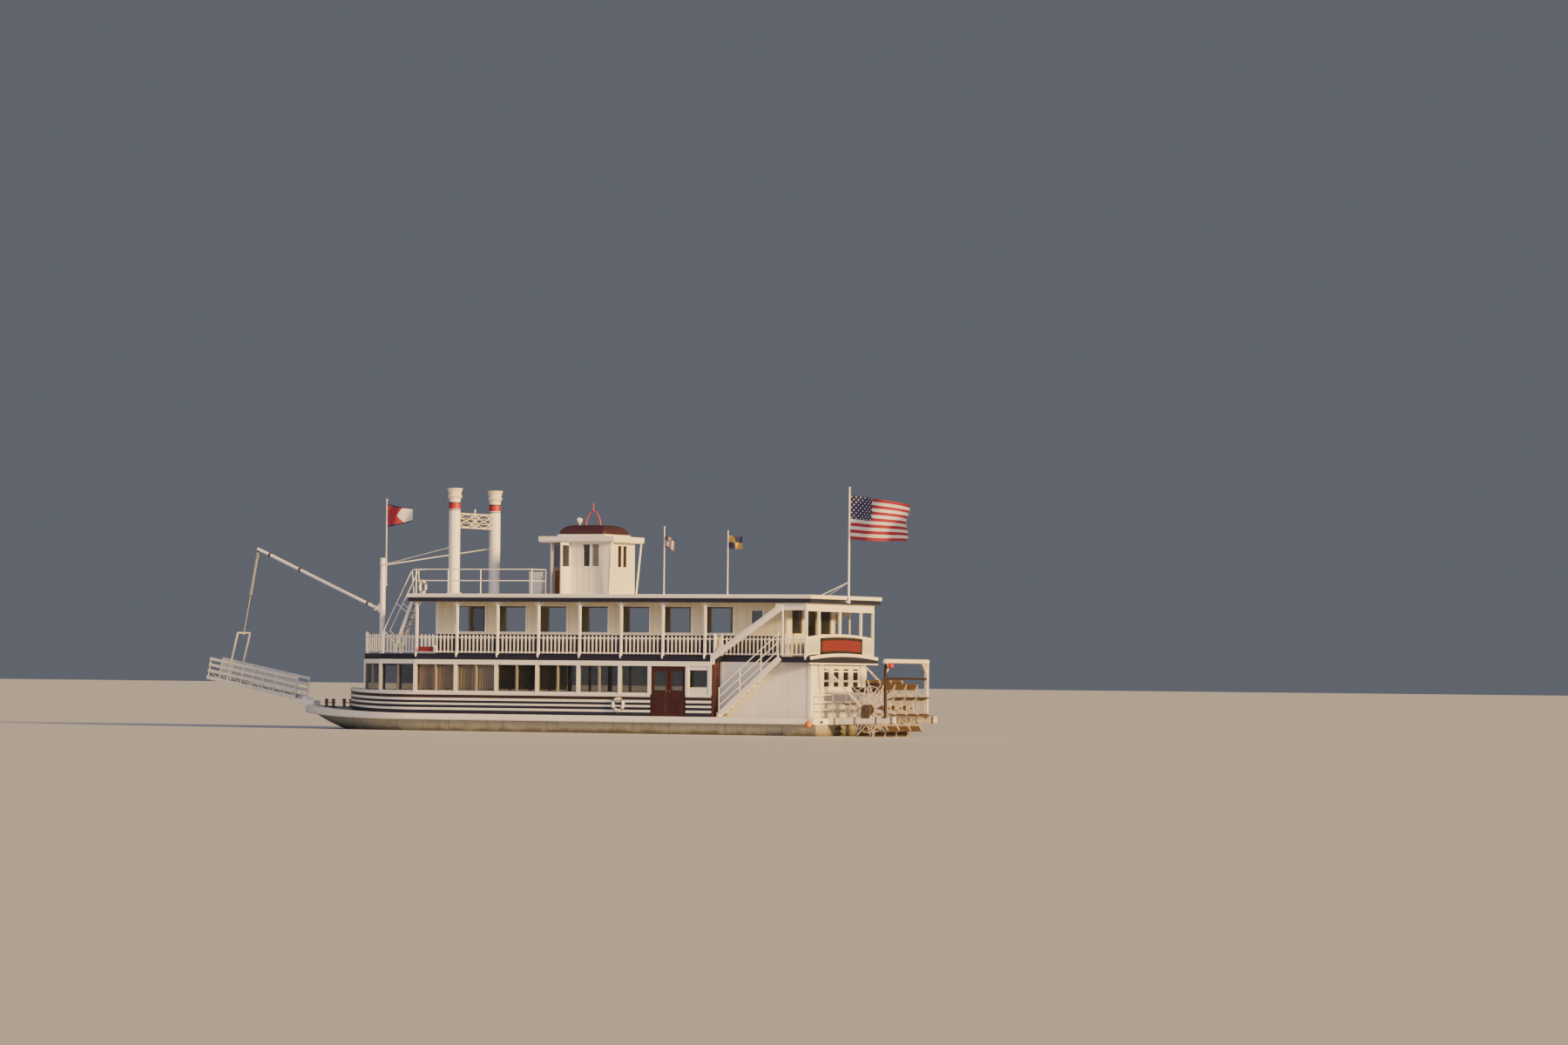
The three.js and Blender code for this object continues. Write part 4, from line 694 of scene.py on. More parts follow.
def leaf_dressing(hinge_x, forward, side):
    """Raised panels, casing, pane and knob of one leaf; forward is 1 where it reaches aft from its hinge."""
    knob, outer = hinge_x - forward * (LEAF - 0.06), side * LEAF_FACE
    parts = [rods((knob, outer, 1.66), (knob, outer + side * 0.035, 1.66), 0.022, 14, 2)]
    aft, fore, foot, head = 0.12, LEAF - 0.11, 1.7, 2.45
    boards = [(0.13, LEAF - 0.12, 0.86, 1.22), (0.13, LEAF - 0.12, 1.30, 1.60)]
    strips = [(aft - 0.03, fore + 0.03, foot - 0.03, foot), (aft - 0.03, fore + 0.03, head, head + 0.03),
              (aft - 0.03, aft, foot, head), (fore, fore + 0.03, foot, head)]
    for outlines, proud, deep, edge, number in (
            (boards, 0.010, 0.016, 0.007, 0), (strips, 0.010, 0.014, 0.005, 0),
            ([(aft, fore, foot, head)], -0.02, 0.006, 0.001, 1)):
        face, back = side * (LEAF_FACE + proud), side * (LEAF_FACE + proud - deep)
        parts += [box(hinge_x - forward * u0, hinge_x - forward * u1, face, back, z0, z1, edge, number)
                  for u0, u1, z0, z1 in outlines]
    return parts


for side, word in SIDES:
    for end, hinge_x, forward in (("fore", DOORWAY[1] - 0.033, 1), ("aft", DOORWAY[0] + 0.033, -1)):
        node = f"door_{word}_{end}"
        finish(MAROON, node)
        piece(f"{node}_dressing", leaf_dressing(hinge_x, forward, side), [MAROON, GLASS, BRASS], node)

PLYWOOD = painted("plywood_white", (0.79, 0.775, 0.75), (0.46, 0.37, 0.27), 0.22, 0.7, 0.42, (1, 0, 0), 1.22,
                  0.006, 0.05)
AFTER_WALL = painted("boarded_white", (0.80, 0.78, 0.74), (0.48, 0.36, 0.24), 0.34, 0.9, 0.45, (0, 1, 0), 0.3,
                     0.02, 0.06)
GREY = painted("casing_grey", (0.26, 0.27, 0.28), (0.16, 0.10, 0.06), 0.4, 1.2, 0.45, (1, 0, 0), 0.5,
               0.012, 0.04)
finish(PLYWOOD, "machinery_wall_port", "machinery_wall_starboard")
finish(AFTER_WALL, "machinery_wall_aft")
finish(GREY, "engine")


def after_face(left_y, right_y):
    """Left and right plan points on the after wall, seen from astern."""
    return places(AFT_FACE, np.atleast_1d(left_y)), places(AFT_FACE, np.atleast_1d(right_y))


AFT_FACE = -10.72
light_middles = np.array([1.08, 0.21, -0.66, -1.53])
lights = after_face(light_middles + 0.28, light_middles - 0.28)
corner_boards = [box(x0, x1, side * y0, side * y1, 0.695, 2.82) for side in (1, -1) for x0, x1, y0, y1 in (
    (AFT_FACE - 0.022, AFT_FACE, 2.05, 2.50), (AFT_FACE, -10.60, 2.478, 2.50), (-6.98, -6.842, 2.478, 2.495))]
piece("machinery_trim", corner_boards + [
    box(-9.3, -7.9, -0.72, 0.72, 1.2, 1.26, 0.01, 1), box(-9.55, -7.65, -0.4, 0.4, 1.89, 1.95, 0.02, 1),
    *[rods((x, y, 1.94), (x, y, 2.12), 0.06, 16, 1) for x in (-9.2, -8.3) for y in (-0.22, 0.22)],
    *casings(*lights, 1.77, 2.63, 0.03, 0.05, 0.014), panes(*lights, 1.81, 2.59, 0.05, 2),
    *[flat_bars(*lights, foot, head, 0.04, 0.004)
      for foot, head in ((1.80, 1.90), (2.09, 2.16), (2.47, 2.53))],
    flat_bars(*after_face(2.48, -2.48), 2.66, 2.82, 0.05, 0.016),
    flat_bars(*after_face(1.75, -2.05), 1.66, 1.75, 0.05, 0.035),
    flat_bars(*after_face(2.05, -2.05), 0.70, 0.84, 0.03, 0.012),
], [WHITE, GREY, GLASS])


def tube(path, radius, sides=10, ring=False, number=0, top=(0, 0, 1)):
    """A round tube along points: circles square to the way from the point before to the point after."""
    path = np.asarray(path, float)
    run = np.roll(path, -1, 0) - np.roll(path, 1, 0)
    if not ring:
        run[0], run[-1] = path[1] - path[0], path[-1] - path[-2]
    round_it = circles(directions(0 * run, run, top)[2], sides)
    return shell(path[:, None] + np.broadcast_to(radius, len(path))[:, None, None] * round_it, number, ring)


WHITE_METAL = painted("white_steel_paint", (0.82, 0.815, 0.80), (0.45, 0.30, 0.20), 0.16, 1.6, 0.32)
RAIL_X = -11.06
rail_posts = places(RAIL_X, (-2.35, -1.2, 0.0, 1.2, 2.35), MAIN_DECK)
piece("after_rail", [
    rods(rail_posts, rail_posts + (0, 0, 0.9), 0.022, 12),
    turned([(0.05, 0), (0.05, 0.012), (0.03, 0.02)], (RAIL_X, 0, MAIN_DECK), 16),
    *[tube([(RAIL_X, -2.35, z), (RAIL_X, 2.35, z)], 0.02) for z in (1.02, 1.32, 1.59)],
], [WHITE_METAL])


# Stairs: a flight up each side passage, two deep stringers with boarded treads and risers let into them.
# Three pipe rails run up the outside on stanchions through the outer stringer.
STEPS, STAIR_FORE, GOING = 12, -6.95, 2.74 / 12
UPPER_DECK = 3.045
RISE = (UPPER_DECK - MAIN_DECK) / STEPS
STAIR_SIDES = (2.5, 3.05)
TREAD = painted("tread_paint", (0.42, 0.41, 0.40), (0.14, 0.11, 0.08), 0.5, 1.4, 0.6, (1, 0, 0), 0.076,
                0.08, 0.12)


def stair_height(x):
    """Height of the line of nosings at x."""
    return MAIN_DECK + RISE * (STAIR_FORE - x) / GOING


def bars(starts, ends, wide, deep, edge=0.006, top=(0, 0, 1), number=0):
    """Planed bars from point to point, wide across and deep upwards."""
    length, middle, axes = directions(starts, ends, top)
    return timbers(middle, places(length / 2, wide / 2, deep / 2), edge, axes, number)


step = np.arange(1, STEPS)
nose = STAIR_FORE - GOING * (step - 1)
under_tread = MAIN_DECK + RISE * step - 0.018
half_wide = (STAIR_SIDES[1] - STAIR_SIDES[0]) / 2 - 0.04
stations = np.array([STAIR_FORE - GOING / 2, -7.95, -8.85, -9.69 + GOING / 2])
RAIL_ENDS = (stations[0] + 0.02, stations[-1] - 0.02)
cap = [(0.02, 0), (0.03, 0.012), (0.032, 0.03), (0.018, 0.045), (0.004, 0.05)]
for side, word in SIDES:
    inner, outer = side * STAIR_SIDES[0], side * STAIR_SIDES[1]
    middle_y, rail_y = (inner + outer) / 2, outer - side * 0.022
    stringers = [[(x, y, stair_height(x) - 0.02) for y in (inner + side * 0.022, rail_y)]
                 for x in (-7.13, -9.66)]
    feet = places(stations, rail_y, stair_height(stations) - 0.1)
    heads = feet + (0, 0, 1.1)
    pipes = [tube([(x, rail_y, stair_height(x - nudge) + lift) for x, nudge in zip(RAIL_ENDS, (0.02, -0.02))],
                  0.021, number=1) for lift in (0.34, 0.67, 1.0)]
    piece(f"stair_flight_{word}", [
        bars(*stringers, 0.044, 0.225, 0.008),
        timbers(places(nose - GOING / 2 + 0.01, middle_y, under_tread), (GOING / 2 + 0.012, half_wide, 0.018),
                0.008, number=2),
        timbers(places(nose - 0.012, middle_y, under_tread - RISE / 2),
                (0.012, half_wide, RISE / 2 - 0.018), 0.003),
        rods(feet, heads, 0.021, 12, 1), *pipes, *[turned(cap, head, 14, 1) for head in heads],
        box(-7.2, -6.93, inner, outer, MAIN_DECK + 0.001, MAIN_DECK + 0.03, 0.008, 2),
    ], [WHITE, WHITE_METAL, TREAD], stands_for=(f"stair_{word}",))


# Upper deck edge: navy fascia under the balustrade, a boarded ceiling beneath, grey with painted shade,
# and across the stern an arched fascia with a white rail over it. The rails and the sign across the stern
# rise to the middle with the deck.
CROWN = 0.13
POST_Y = 2.982
DECK_EDGE = 3.037
STERN_X = -10.95
# The ceiling boards' white paint is darkened to grey as painted shade under the decks.
SHADED_CEILING = painted("shaded_ceiling_boards", (0.42, 0.40, 0.37), (0.35, 0.28, 0.2), 0.2, 0.8, 0.5, (0, 1, 0), 0.09,
                  0.05, 0.08)
WALK = painted("upper_deck_paint", (0.23, 0.24, 0.25), (0.10, 0.09, 0.08), 0.45, 0.8, 0.6, (0, 1, 0), 0.14,
               0.06, 0.2)


def crown(y):
    """Rise of the stern's rails at y: a parabola, none at the corners."""
    return CROWN * (1 - (np.asarray(y) / POST_Y) ** 2)


def athwart(profile, x, half, stations, arch=0.0, number=0):
    """A profile of (aft, up) carried across the boat, bent by its arch times the deck's crown."""
    y = np.linspace(-half, half, stations)
    return carried(profile, places(x, y), places(0 * y - 1, 0), arch * crown(y).clip(0), number)


finish(NAVY, "upper_deck")
edge = np.array([(-6.9, DECK_EDGE), (6.4, DECK_EDGE), (8.188, 2.688), (BOW_X, 2.055)])
edge_right = np.concatenate([edge, edge[:0:-1] * (1, -1), [(-9.7, -DECK_EDGE), (STERN_X, DECK_EDGE)]])
edge_left = np.concatenate([edge[1:], edge[::-1] * (1, -1), [(STERN_X, -DECK_EDGE), (-9.7, DECK_EDGE)]])
piece("upper_deck_trim", [
    athwart([(-0.02, 2.83), (0.012, 2.83), (0.02, 2.86), (0.02, 2.94), (-0.02, 2.94)],
            STERN_X, DECK_EDGE, 33, 1),
    athwart([(-0.02, 2.94), (0.026, 2.94), (0.032, 2.95), (0.032, 3.05), (0.022, 3.062), (-0.02, 3.062)],
            STERN_X, DECK_EDGE, 33, 1, 1),
    athwart([(-0.05, 2.765), (0.03, 2.765), (0.03, 2.815), (-0.05, 2.825)], STERN_X, DECK_EDGE, 33, 0, 1),
    flat_bars(edge_left, edge_right, 3.012, 3.044, 0.03, 0.018, 0.01),
    flat_bars(edge_left, edge_right, 2.828, 2.852, 0.03, 0.012, 0.008),
    *[box(x0, x1, -half, half, 2.815, 2.8255, 0.002, 2)
      for x0, x1, half in ((-6.84, 6.36, 3), (-10.9, -6.95, 2.43))],
    *[box(x0, x1, -half, half, 3.044, 3.0462, 0.001, 3) for x0, x1, half in (
        (-6.85, 6.35, 2.9), (-10.8, -6.95, 2.38), (6.35, 8.1, 2.6), (8.1, 9.2, 2.0))],
], [NAVY, WHITE, SHADED_CEILING, WALK])


# Balustrades: flat-sawn pickets with spear heads and splayed feet, nailed to two rails between square
# posts. Each post on the deck's edge ends below in a turned drop, and carries the roof above.
ROOF_BOTTOM = 5.119
POST_HEAD = ROOF_BOTTOM - 0.001
RAIL_TOP = 3.815
PICKET_PITCH = BAY / 11
PICKET_OUTLINE = np.array([
    # half-width, height above the deck
    (0.040, 0.045), (0.044, 0.06), (0.044, 0.105), (0.027, 0.135), (0.030, 0.50), (0.040, 0.60),
    (0.043, 0.655), (0.040, 0.70), (0.024, 0.745), (0.006, 0.77),
])


def sawn_pickets(at, along, thick=0.022):
    """Boards of the sawn outline: at each height a rectangle of its width by the board's thickness."""
    at = np.asarray(at)[:, None, None]
    rows = len(PICKET_OUTLINE)
    wide, high = PICKET_OUTLINE.T[:, :, None]
    plan = (at + wide[:, :, None] * np.array([-1, 1, 1, -1])[:, None] * along
            + thick / 2 * np.array([-1, -1, 1, 1])[:, None] * np.array((along[1], -along[0])))
    points = places(plan[..., 0], plan[..., 1], high + UPPER_DECK)
    return repeated(points.reshape(len(at), -1, 3), shell_faces(rows, 4))


def picket_run(start, end, clear=0.05):
    """Pickets between two posts, a whole number at about the pitch, and the two rails behind them."""
    start, end = np.asarray(start, float), np.asarray(end, float)
    length = np.linalg.norm(end - start)
    along = (end - start) / length
    count = max(1, round((length - 2 * clear) / PICKET_PITCH) - 1)
    at = start + along * (clear + (length - 2 * clear) * (np.arange(1, count + 1) / (count + 1)))[:, None]
    low, high = (places(*end_at, UPPER_DECK + np.array((0.085, 0.66))) for end_at in (start, end))
    return [sawn_pickets(at, along), bars(low, high, 0.05, 0.045, 0.01)]


def square_posts(points, head, size=0.1, foot=UPPER_DECK + 0.001):
    """Square posts with planed arrises between the deck and a height."""
    x, y = np.array(points, float).T
    return timbers(places(x, y, (foot + head) / 2), (size / 2, size / 2, (head - foot) / 2), 0.012)


DROP = [(0.012, -0.115), (0.026, -0.10), (0.034, -0.07), (0.026, -0.045), (0.045, -0.02), (0.047, 0.03),
        (0.03, 0.055)]
FINIAL = [(0.05, 0), (0.066, 0.008), (0.066, 0.022), (0.03, 0.036), (0.036, 0.055), (0.02, 0.075)]
BRACKET = 0.2
side_posts = FIRST_POST - BAY * np.arange(8)
for side, word in SIDES:
    line = [(x, side * POST_Y) for x in side_posts]
    bow = [line[0], (8.126, side * 2.628), (9.24, side * 1.995), (9.24, side * 0.045)]
    well = [line[7], (-6.84, side * POST_Y), (-6.84, side * 2.39), (-9.6, side * 2.39)]
    runs = [*zip(line, line[1:]), *zip(bow, bow[1:]), *zip(well, well[1:])]
    short = [bow[1], bow[2], *well[1:]]
    heads = places(side_posts, side * POST_Y, ROOF_BOTTOM - 0.015)
    piece(f"balustrade_sawn_{word}", [part for run in runs for part in picket_run(*run)] + [
        square_posts(line, POST_HEAD), square_posts(short, RAIL_TOP + 0.03),
        square_posts(bow[3:], RAIL_TOP + 0.03, 0.08),
        *[turned(FINIAL, (*at, RAIL_TOP + 0.028), 16) for at in short],
        *[turned(DROP, (x, side * (DECK_EDGE + 0.022), UPPER_DECK), 14) for x in side_posts],
        *[bars(heads - (0, 0, BRACKET), heads + (way * BRACKET, 0, 0), 0.03, 0.035) for way in (-1, 1)],
    ], [WHITE], stands_for=(f"balustrade_{word}",))


# Stern screen: posts to the roof with a deep header, close pickets, crowned rails, and the boards over the
# stairs. The sign across it is a bare red board in a black frame, bent to the deck's crown.
SCREEN_X, SIGN_X = -10.75, -10.80
CORNICE = (4.83, 5.11)


def across_screen(deep, foot, head, number=0, x=SCREEN_X, half=POST_Y, stations=33):
    """A board across the screen between two depths and two heights, bent to the crown."""
    outline = [(deep[0], foot), (deep[1], foot), (deep[1], head), (deep[0], head)]
    return athwart(outline, x, half, stations, 1, number)


stops = np.array([POST_Y, 1.89, 0.0, -1.89, -POST_Y])
picket_y = np.concatenate([np.linspace(a, b, round(abs(a - b) / 0.105) + 1)[1:-1]
                           for a, b in zip(stops, stops[1:])])
points, faces, number = sawn_pickets(places(SCREEN_X, picket_y), np.array((0, 1)))
points[:, 2] += crown(points[:, 1])
parts = [
    (points, faces, number),
    across_screen((-0.03, 0.045), 3.715, 3.79), across_screen((-0.025, 0.035), 3.095, 3.15),
    square_posts(places(SCREEN_X, stops), POST_HEAD),
    box(SCREEN_X - 0.045, SCREEN_X + 0.04, -3.03, 3.03, *CORNICE, 0.012),
    box(SCREEN_X - 0.06, SCREEN_X + 0.045, -3.04, 3.04, 4.80, 4.84, 0.012),
]
for side, _ in SIDES:
    y, edge_y = side * POST_Y, side * DECK_EDGE
    low, high = (-6.77, side * (DECK_EDGE + 0.0253), 2.985), (-9.64, side * (DECK_EDGE + 0.0253), 4.905)
    parts += [
        *picket_run((-9.75, y), (SCREEN_X, y)), square_posts([(-9.75, y)], POST_HEAD, 0.06),
        box(SCREEN_X + 0.06, -9.78, y - 0.035, y + 0.04, *CORNICE, 0.012),
        bars(low, high, 0.05, 0.25, 0.014), bars(low, high, 0.075, 0.04, 0.01),
        box(-9.78, -9.47, y - side * 0.025, edge_y + side * 0.05, 4.78, 5.1, 0.012),
        box(-6.86, -6.69, edge_y - side * 0.02, edge_y + side * 0.045, 2.72, 3.16, 0.012),
        turned(DROP, (SCREEN_X, edge_y + side * 0.022, UPPER_DECK), 14),
    ]
piece("stern_screen_sawn", parts, [WHITE], stands_for=("stern_screen",))

RED = painted("red_paint", (0.36, 0.018, 0.030), (0.14, 0.03, 0.03), 0.35, 1.2, 0.35)
SIGN_RED = painted("sign_red", (0.17, 0.018, 0.022), (0.05, 0.02, 0.02), 0.6, 1.6, 0.4)
SIGN_BLACK = painted("sign_black", (0.012, 0.012, 0.014), (0.1, 0.06, 0.05), 0.3, 2.0, 0.4)
sign_line = {"x": SIGN_X, "half": 1.85, "stations": 25}
end_rise = float(crown(1.85))
piece("sign_panel", [
    across_screen((0, 0.034), 3.10, 3.66, 0, **sign_line),
    across_screen((0, 0.05), 3.585, 3.69, 1, **sign_line),
    across_screen((0, 0.05), 3.07, 3.165, 1, **sign_line),
    *[box(SIGN_X - 0.05, SIGN_X, s * 1.73, s * 1.86, 3.07 + end_rise, 3.69 + end_rise, 0.008, 1)
      for s in (1, -1)],
], [SIGN_RED, SIGN_BLACK], stands_for=("sign_board",))


# Upper cabin: cream panels between open lights, a navy dado to sill height, white casings and corner
# boards. Inside stand two rows of bench seats back to back, of slatted wood.
CABIN_Y, CABIN_FORE, CABIN_AFT = 2.13, 6.02, -9.54
LIGHT_FOOT, LIGHT_HEAD = 3.9, 5.0
CREAM = painted("cream_paint", (0.74, 0.68, 0.50), (0.42, 0.33, 0.2), 0.28, 0.9, 0.42, (1, 0, 0), 0.41,
                0.02, 0.05)
SLATS = painted("slat_varnish", (0.30, 0.15, 0.065), (0.10, 0.05, 0.03), 0.4, 2.0, 0.35, (0, 1, 0), 0.08,
                0.04, 0.15)
finish(CREAM, *[f"cabin_wall_{word}" for word in ("port", "starboard", "fore", "aft")])
aft_jambs = 3.24 - BAY * np.arange(1, 7)
cabin_lights = [(3.75, 5.2), *zip(aft_jambs + 0.51, aft_jambs + BAY)]
parts = []
for side, _ in SIDES:
    wall = partial(side_points, side, CABIN_Y)
    small, whole_side = wall((-8.5, -7.95)), wall((CABIN_AFT, CABIN_FORE))
    ends = wall((CABIN_AFT, CABIN_AFT + 0.1), (CABIN_FORE - 0.1, CABIN_FORE))
    parts += [*casings(*wall(*cabin_lights), LIGHT_FOOT, LIGHT_HEAD, 0.045, 0.1),
              *casings(*small, 4.25, 4.86, 0.04, 0.1), panes(*small, 4.25, 4.86, 0.03, 2),
              flat_bars(*whole_side, 3.048, LIGHT_FOOT - 0.055, 0.02, 0.008, 0.003, 1),
              flat_bars(*whole_side, LIGHT_FOOT - 0.06, LIGHT_FOOT - 0.01, 0.05, 0.035),
              flat_bars(*ends, LIGHT_FOOT, 5.115, 0.03, 0.014)]
for x, out in ((CABIN_FORE, 1), (CABIN_AFT, -1)):
    for y0, y1 in ((0.75, 1.8), (-1.8, -0.75)):
        span = ((x, y0), (x, y1))[::out]
        parts += [*casings(*span, LIGHT_FOOT, 4.94, 0.045, 0.1), panes(*span, LIGHT_FOOT, 4.94, 0.04, 2)]
    parts += [box(x, x + out * 0.012, s * 0.5, s * 0.57, 3.05, 5.0, 0.004) for s in (1, -1)]
bench_x = np.arange(-8.2, 5.0, 1.22)
leg_x = (bench_x[:, None] + (-0.45, 0.45)).ravel()
for side, _ in SIDES:
    parts += [timbers(places(bench_x, side * y, 3.49), (0.56, 0.033, 0.012), 0.005, number=3)
              for y in (0.62, 0.70, 0.78, 0.86, 0.94)]
    parts += [timbers(places(bench_x, side * 0.57, z), (0.56, 0.012, 0.04), 0.005, number=3)
              for z in (3.6, 3.7, 3.8)]
    parts += [timbers(places(leg_x, side * 0.76, 3.262), (0.02, 0.17, 0.217), 0.005, number=4),
              timbers(places(leg_x, side * 0.58, 3.442), (0.02, 0.012, 0.39), 0.004, number=4)]
piece("cabin_trim", parts, [WHITE, NAVY, GLASS, SLATS, STEEL])


# Roof: one flat deck with a white rounded edge over a navy fascia, and a boarded ceiling inside it,
# grey with painted shade.
# Two short poles stand at its port edge and the tall staff at its after end, on a pair of braces.
ROOF_TOP = 5.425
ROOF_BOX = (-11.05, 6.75, -3.2, 3.2)
STAFF_X = -11.12
STAFF_FOOT = 5.15
POLE_Y = 3.14
FORE_POLE_X, AFT_POLE_X = -4.68, -7.44


def roof_edge(inset, foot, head, round_by, number):
    """A slab with a rounded edge: its plan pulled in at foot and head by a quarter-circle of the rounding."""
    turn = np.linspace(-np.pi / 2, np.pi / 2, 9)[:, None]
    height = (foot + head) / 2 + np.sign(turn) * ((head - foot) / 2 - round_by) + round_by * np.sin(turn)
    shrink = inset + round_by * (1 - np.cos(turn))
    x0, x1, y0, y1 = ROOF_BOX
    x = np.array([x0, x1, x1, x0]) + shrink * (1, -1, -1, 1)
    y = np.array([y0, y0, y1, y1]) + shrink * (1, 1, -1, -1)
    return shell(places(x, y, height), number)


def pole(x, y, foot, head, radius, ball):
    """A tapered pole in a flanged socket, with a ball truck."""
    tall = head - foot
    profile = [(radius * 1.7, -0.005), (radius * 1.7, 0.015), (radius * 1.25, 0.03), (radius * 1.2, 0.12),
               (radius, 0.13), (radius * 0.72, tall - ball), (ball * 0.8, tall - ball * 0.9),
               (ball, tall - ball * 0.5), (ball * 0.7, tall - ball * 0.1), (0.004, tall)]
    return turned(profile, (x, y, foot), 18, 3)


ROOF_DECK = painted("roof_canvas_paint", (0.62, 0.62, 0.61), (0.20, 0.18, 0.15), 0.45, 0.5, 0.7, (0, 1, 0),
                    1.22, 0.01, 0.06)
ROPE = painted("rope", (0.55, 0.46, 0.31), (0.2, 0.15, 0.1), 0.4, 4.0, 0.85, (0, 0, 1), 0.018, 0.3, 0.3)
braces = [(STAFF_X + 0.01, s * 0.01, 5.96) for s in (1, -1)], [(-10.02, s * 0.33, 5.41) for s in (1, -1)]
halyards = [tube([(x + 0.03, y, 5.9), (x + 0.045, y, (5.9 + top) / 2), (x + 0.02, y, top)], 0.005, 6,
                 number=4, top=(1, 0, 0))
            for x, y, top in ((FORE_POLE_X, POLE_Y, 7.95), (AFT_POLE_X, POLE_Y, 7.8), (STAFF_X, 0, 9.5))]
piece("roof_deck", [
    roof_edge(0, 5.274, ROOF_TOP, 0.03, 0), roof_edge(0.045, ROOF_BOTTOM, 5.279, 0.008, 1),
    box(-10.95, 6.65, -3.1, 3.1, ROOF_BOTTOM - 0.008, ROOF_BOTTOM + 0.01, 0.003, 2),
    box(-10.98, 6.68, -3.13, 3.13, ROOF_TOP - 0.004, ROOF_TOP + 0.0025, 0.002, 5),
    pole(FORE_POLE_X, POLE_Y, ROOF_TOP, 8.06, 0.024, 0.035),
    pole(AFT_POLE_X, POLE_Y, ROOF_TOP, 7.89, 0.024, 0.035),
    pole(STAFF_X, 0, STAFF_FOOT, 9.65, 0.042, 0.055), rods(*braces, 0.02, 12, 3), *halyards,
    *[box(STAFF_X - 0.055, -10.98, -0.055, 0.055, z, z + 0.06, 0.01, 3) for z in (5.18, 5.33)],
], [WHITE, NAVY, SHADED_CEILING, WHITE_METAL, ROPE, ROOF_DECK], stands_for=("roof",))


# Roof rail, ladder and locker: a welded pipe rail along the port edge of the roof, a steep steel ladder
# and a white locker. The ladder's pipe handrails run over the roof edge and bend up to the rails.
RAIL_Y, STATIONS, CORNER = 2.8, (6.56, 5.1, 3.634, 1.344), 0.14
FLANGE = [(0.055, 0), (0.055, 0.01), (0.032, 0.016), (0.028, 0.03)]
HANDRAIL = np.array([(8.31, 3.9), (8.29, 3.96), (7.06, 6.30), (6.96, 6.39), (6.86, 6.396), (6.72, 6.396)])
feet = places([*STATIONS, STATIONS[-1]], [RAIL_Y] * 4 + [1.63], ROOF_TOP + 0.001)
turn = np.linspace(0, np.pi / 2, 7)
route_x = [6.58, *(STATIONS[-1] + CORNER * (1 - np.sin(turn))), STATIONS[-1]]
route_y = [RAIL_Y, *(RAIL_Y - CORNER * (1 - np.cos(turn))), 1.61]
piece("roof_pipe_rail", [
    *[tube(places(route_x, route_y, z), 0.021, 12) for z in (6.396, 5.947)],
    rods(feet, feet * (1, 1, 0) + (0, 0, 6.40), 0.023, 12), *[turned(FLANGE, foot, 16) for foot in feet],
], [WHITE_METAL], stands_for=("roof_rail",))

ladder_foot, ladder_head = np.array((7.83, 0, 3.05)), np.array((6.88, 0, 5.485))
rungs = ladder_foot + (ladder_head - ladder_foot) * (np.arange(1, 9) / 9)[:, None] + (0, 2.075, 0)
parts = [timbers(rungs, (0.075, 0.245, 0.014), number=1)]
for y in (1.82, 2.33):
    parts += [bars(ladder_foot + (0, y, 0.03), ladder_head + (0, y, -0.03), 0.04, 0.13, 0.008),
              tube(places(HANDRAIL[:, 0], y, HANDRAIL[:, 1]), 0.02, 12, top=(0, 1, 0)),
              rods([(7.74, y, 3.42), (7.24, y, 4.70)], [(8.27, y, 3.95), (7.72, y, 5.05)], 0.017),
              rods((6.93, y, 5.44), (7.02, y, 6.34), 0.017)]
piece("ladder_steel", parts, [WHITE_METAL, TREAD], stands_for=("bow_ladder",))

LOCKER_X = 2.125
piece("locker_box", [
    box(LOCKER_X - 0.265, LOCKER_X + 0.265, 0.71, 1.09, ROOF_TOP + 0.001, 6.29, 0.012),
    box(LOCKER_X - 0.285, LOCKER_X + 0.285, 0.69, 1.11, 6.27, 6.325, 0.014),
    *[box(x - 0.016, x + 0.016, 0.75, 1.05, 5.55, 6.2, 0.008) for x in (LOCKER_X - 0.278, LOCKER_X + 0.278)],
    rods((LOCKER_X - 0.3, 0.82, 6.05), (LOCKER_X - 0.3, 0.98, 6.05), 0.008, 8, 1),
], [WHITE, STEEL], stands_for=("roof_locker",))


# Stacks: rolled steel pipes painted white, a red band between two black lines under each crown.
# Each crown is a moulded collar and a flared, fluted lip, open at the mouth, dark with soot inside.
STACK_X, STACK_Y, STACK_R = 5.492, 1.646, 0.225
SOOT = painted("soot", (0.02, 0.02, 0.02), (0.08, 0.05, 0.03), 0.4, 4.0, 0.85)
CROWN_CREAM = painted("crown_cream_paint", (0.80, 0.74, 0.60), (0.28, 0.2, 0.12), 0.3, 3.0, 0.32)
BANDS = [(8.765, 8.79, 0.233, 4), (8.825, 9.045, 0.235, 1), (9.05, 9.095, 0.238, 4)]


def round_points(middle, radius, count, axis=2):
    """Points evenly round a circle that faces along an axis."""
    turn = np.arange(count) * 2 * np.pi / count
    ring = [radius * np.cos(turn), radius * np.sin(turn)]
    ring.insert(axis, 0 * turn)
    return middle + np.stack(ring, 1)


shaft = [(0.31, ROOF_TOP + 0.001), (0.31, 5.45), (0.29, 5.47), (0.243, 5.485), (0.236, 5.52), (STACK_R, 5.54)]
for joint in (6.65, 7.86):
    shaft += [(STACK_R, joint - 0.02), (STACK_R + 0.008, joint - 0.014), (STACK_R + 0.008, joint + 0.014),
              (STACK_R, joint + 0.02)]
shaft += [(STACK_R, 9.205)]
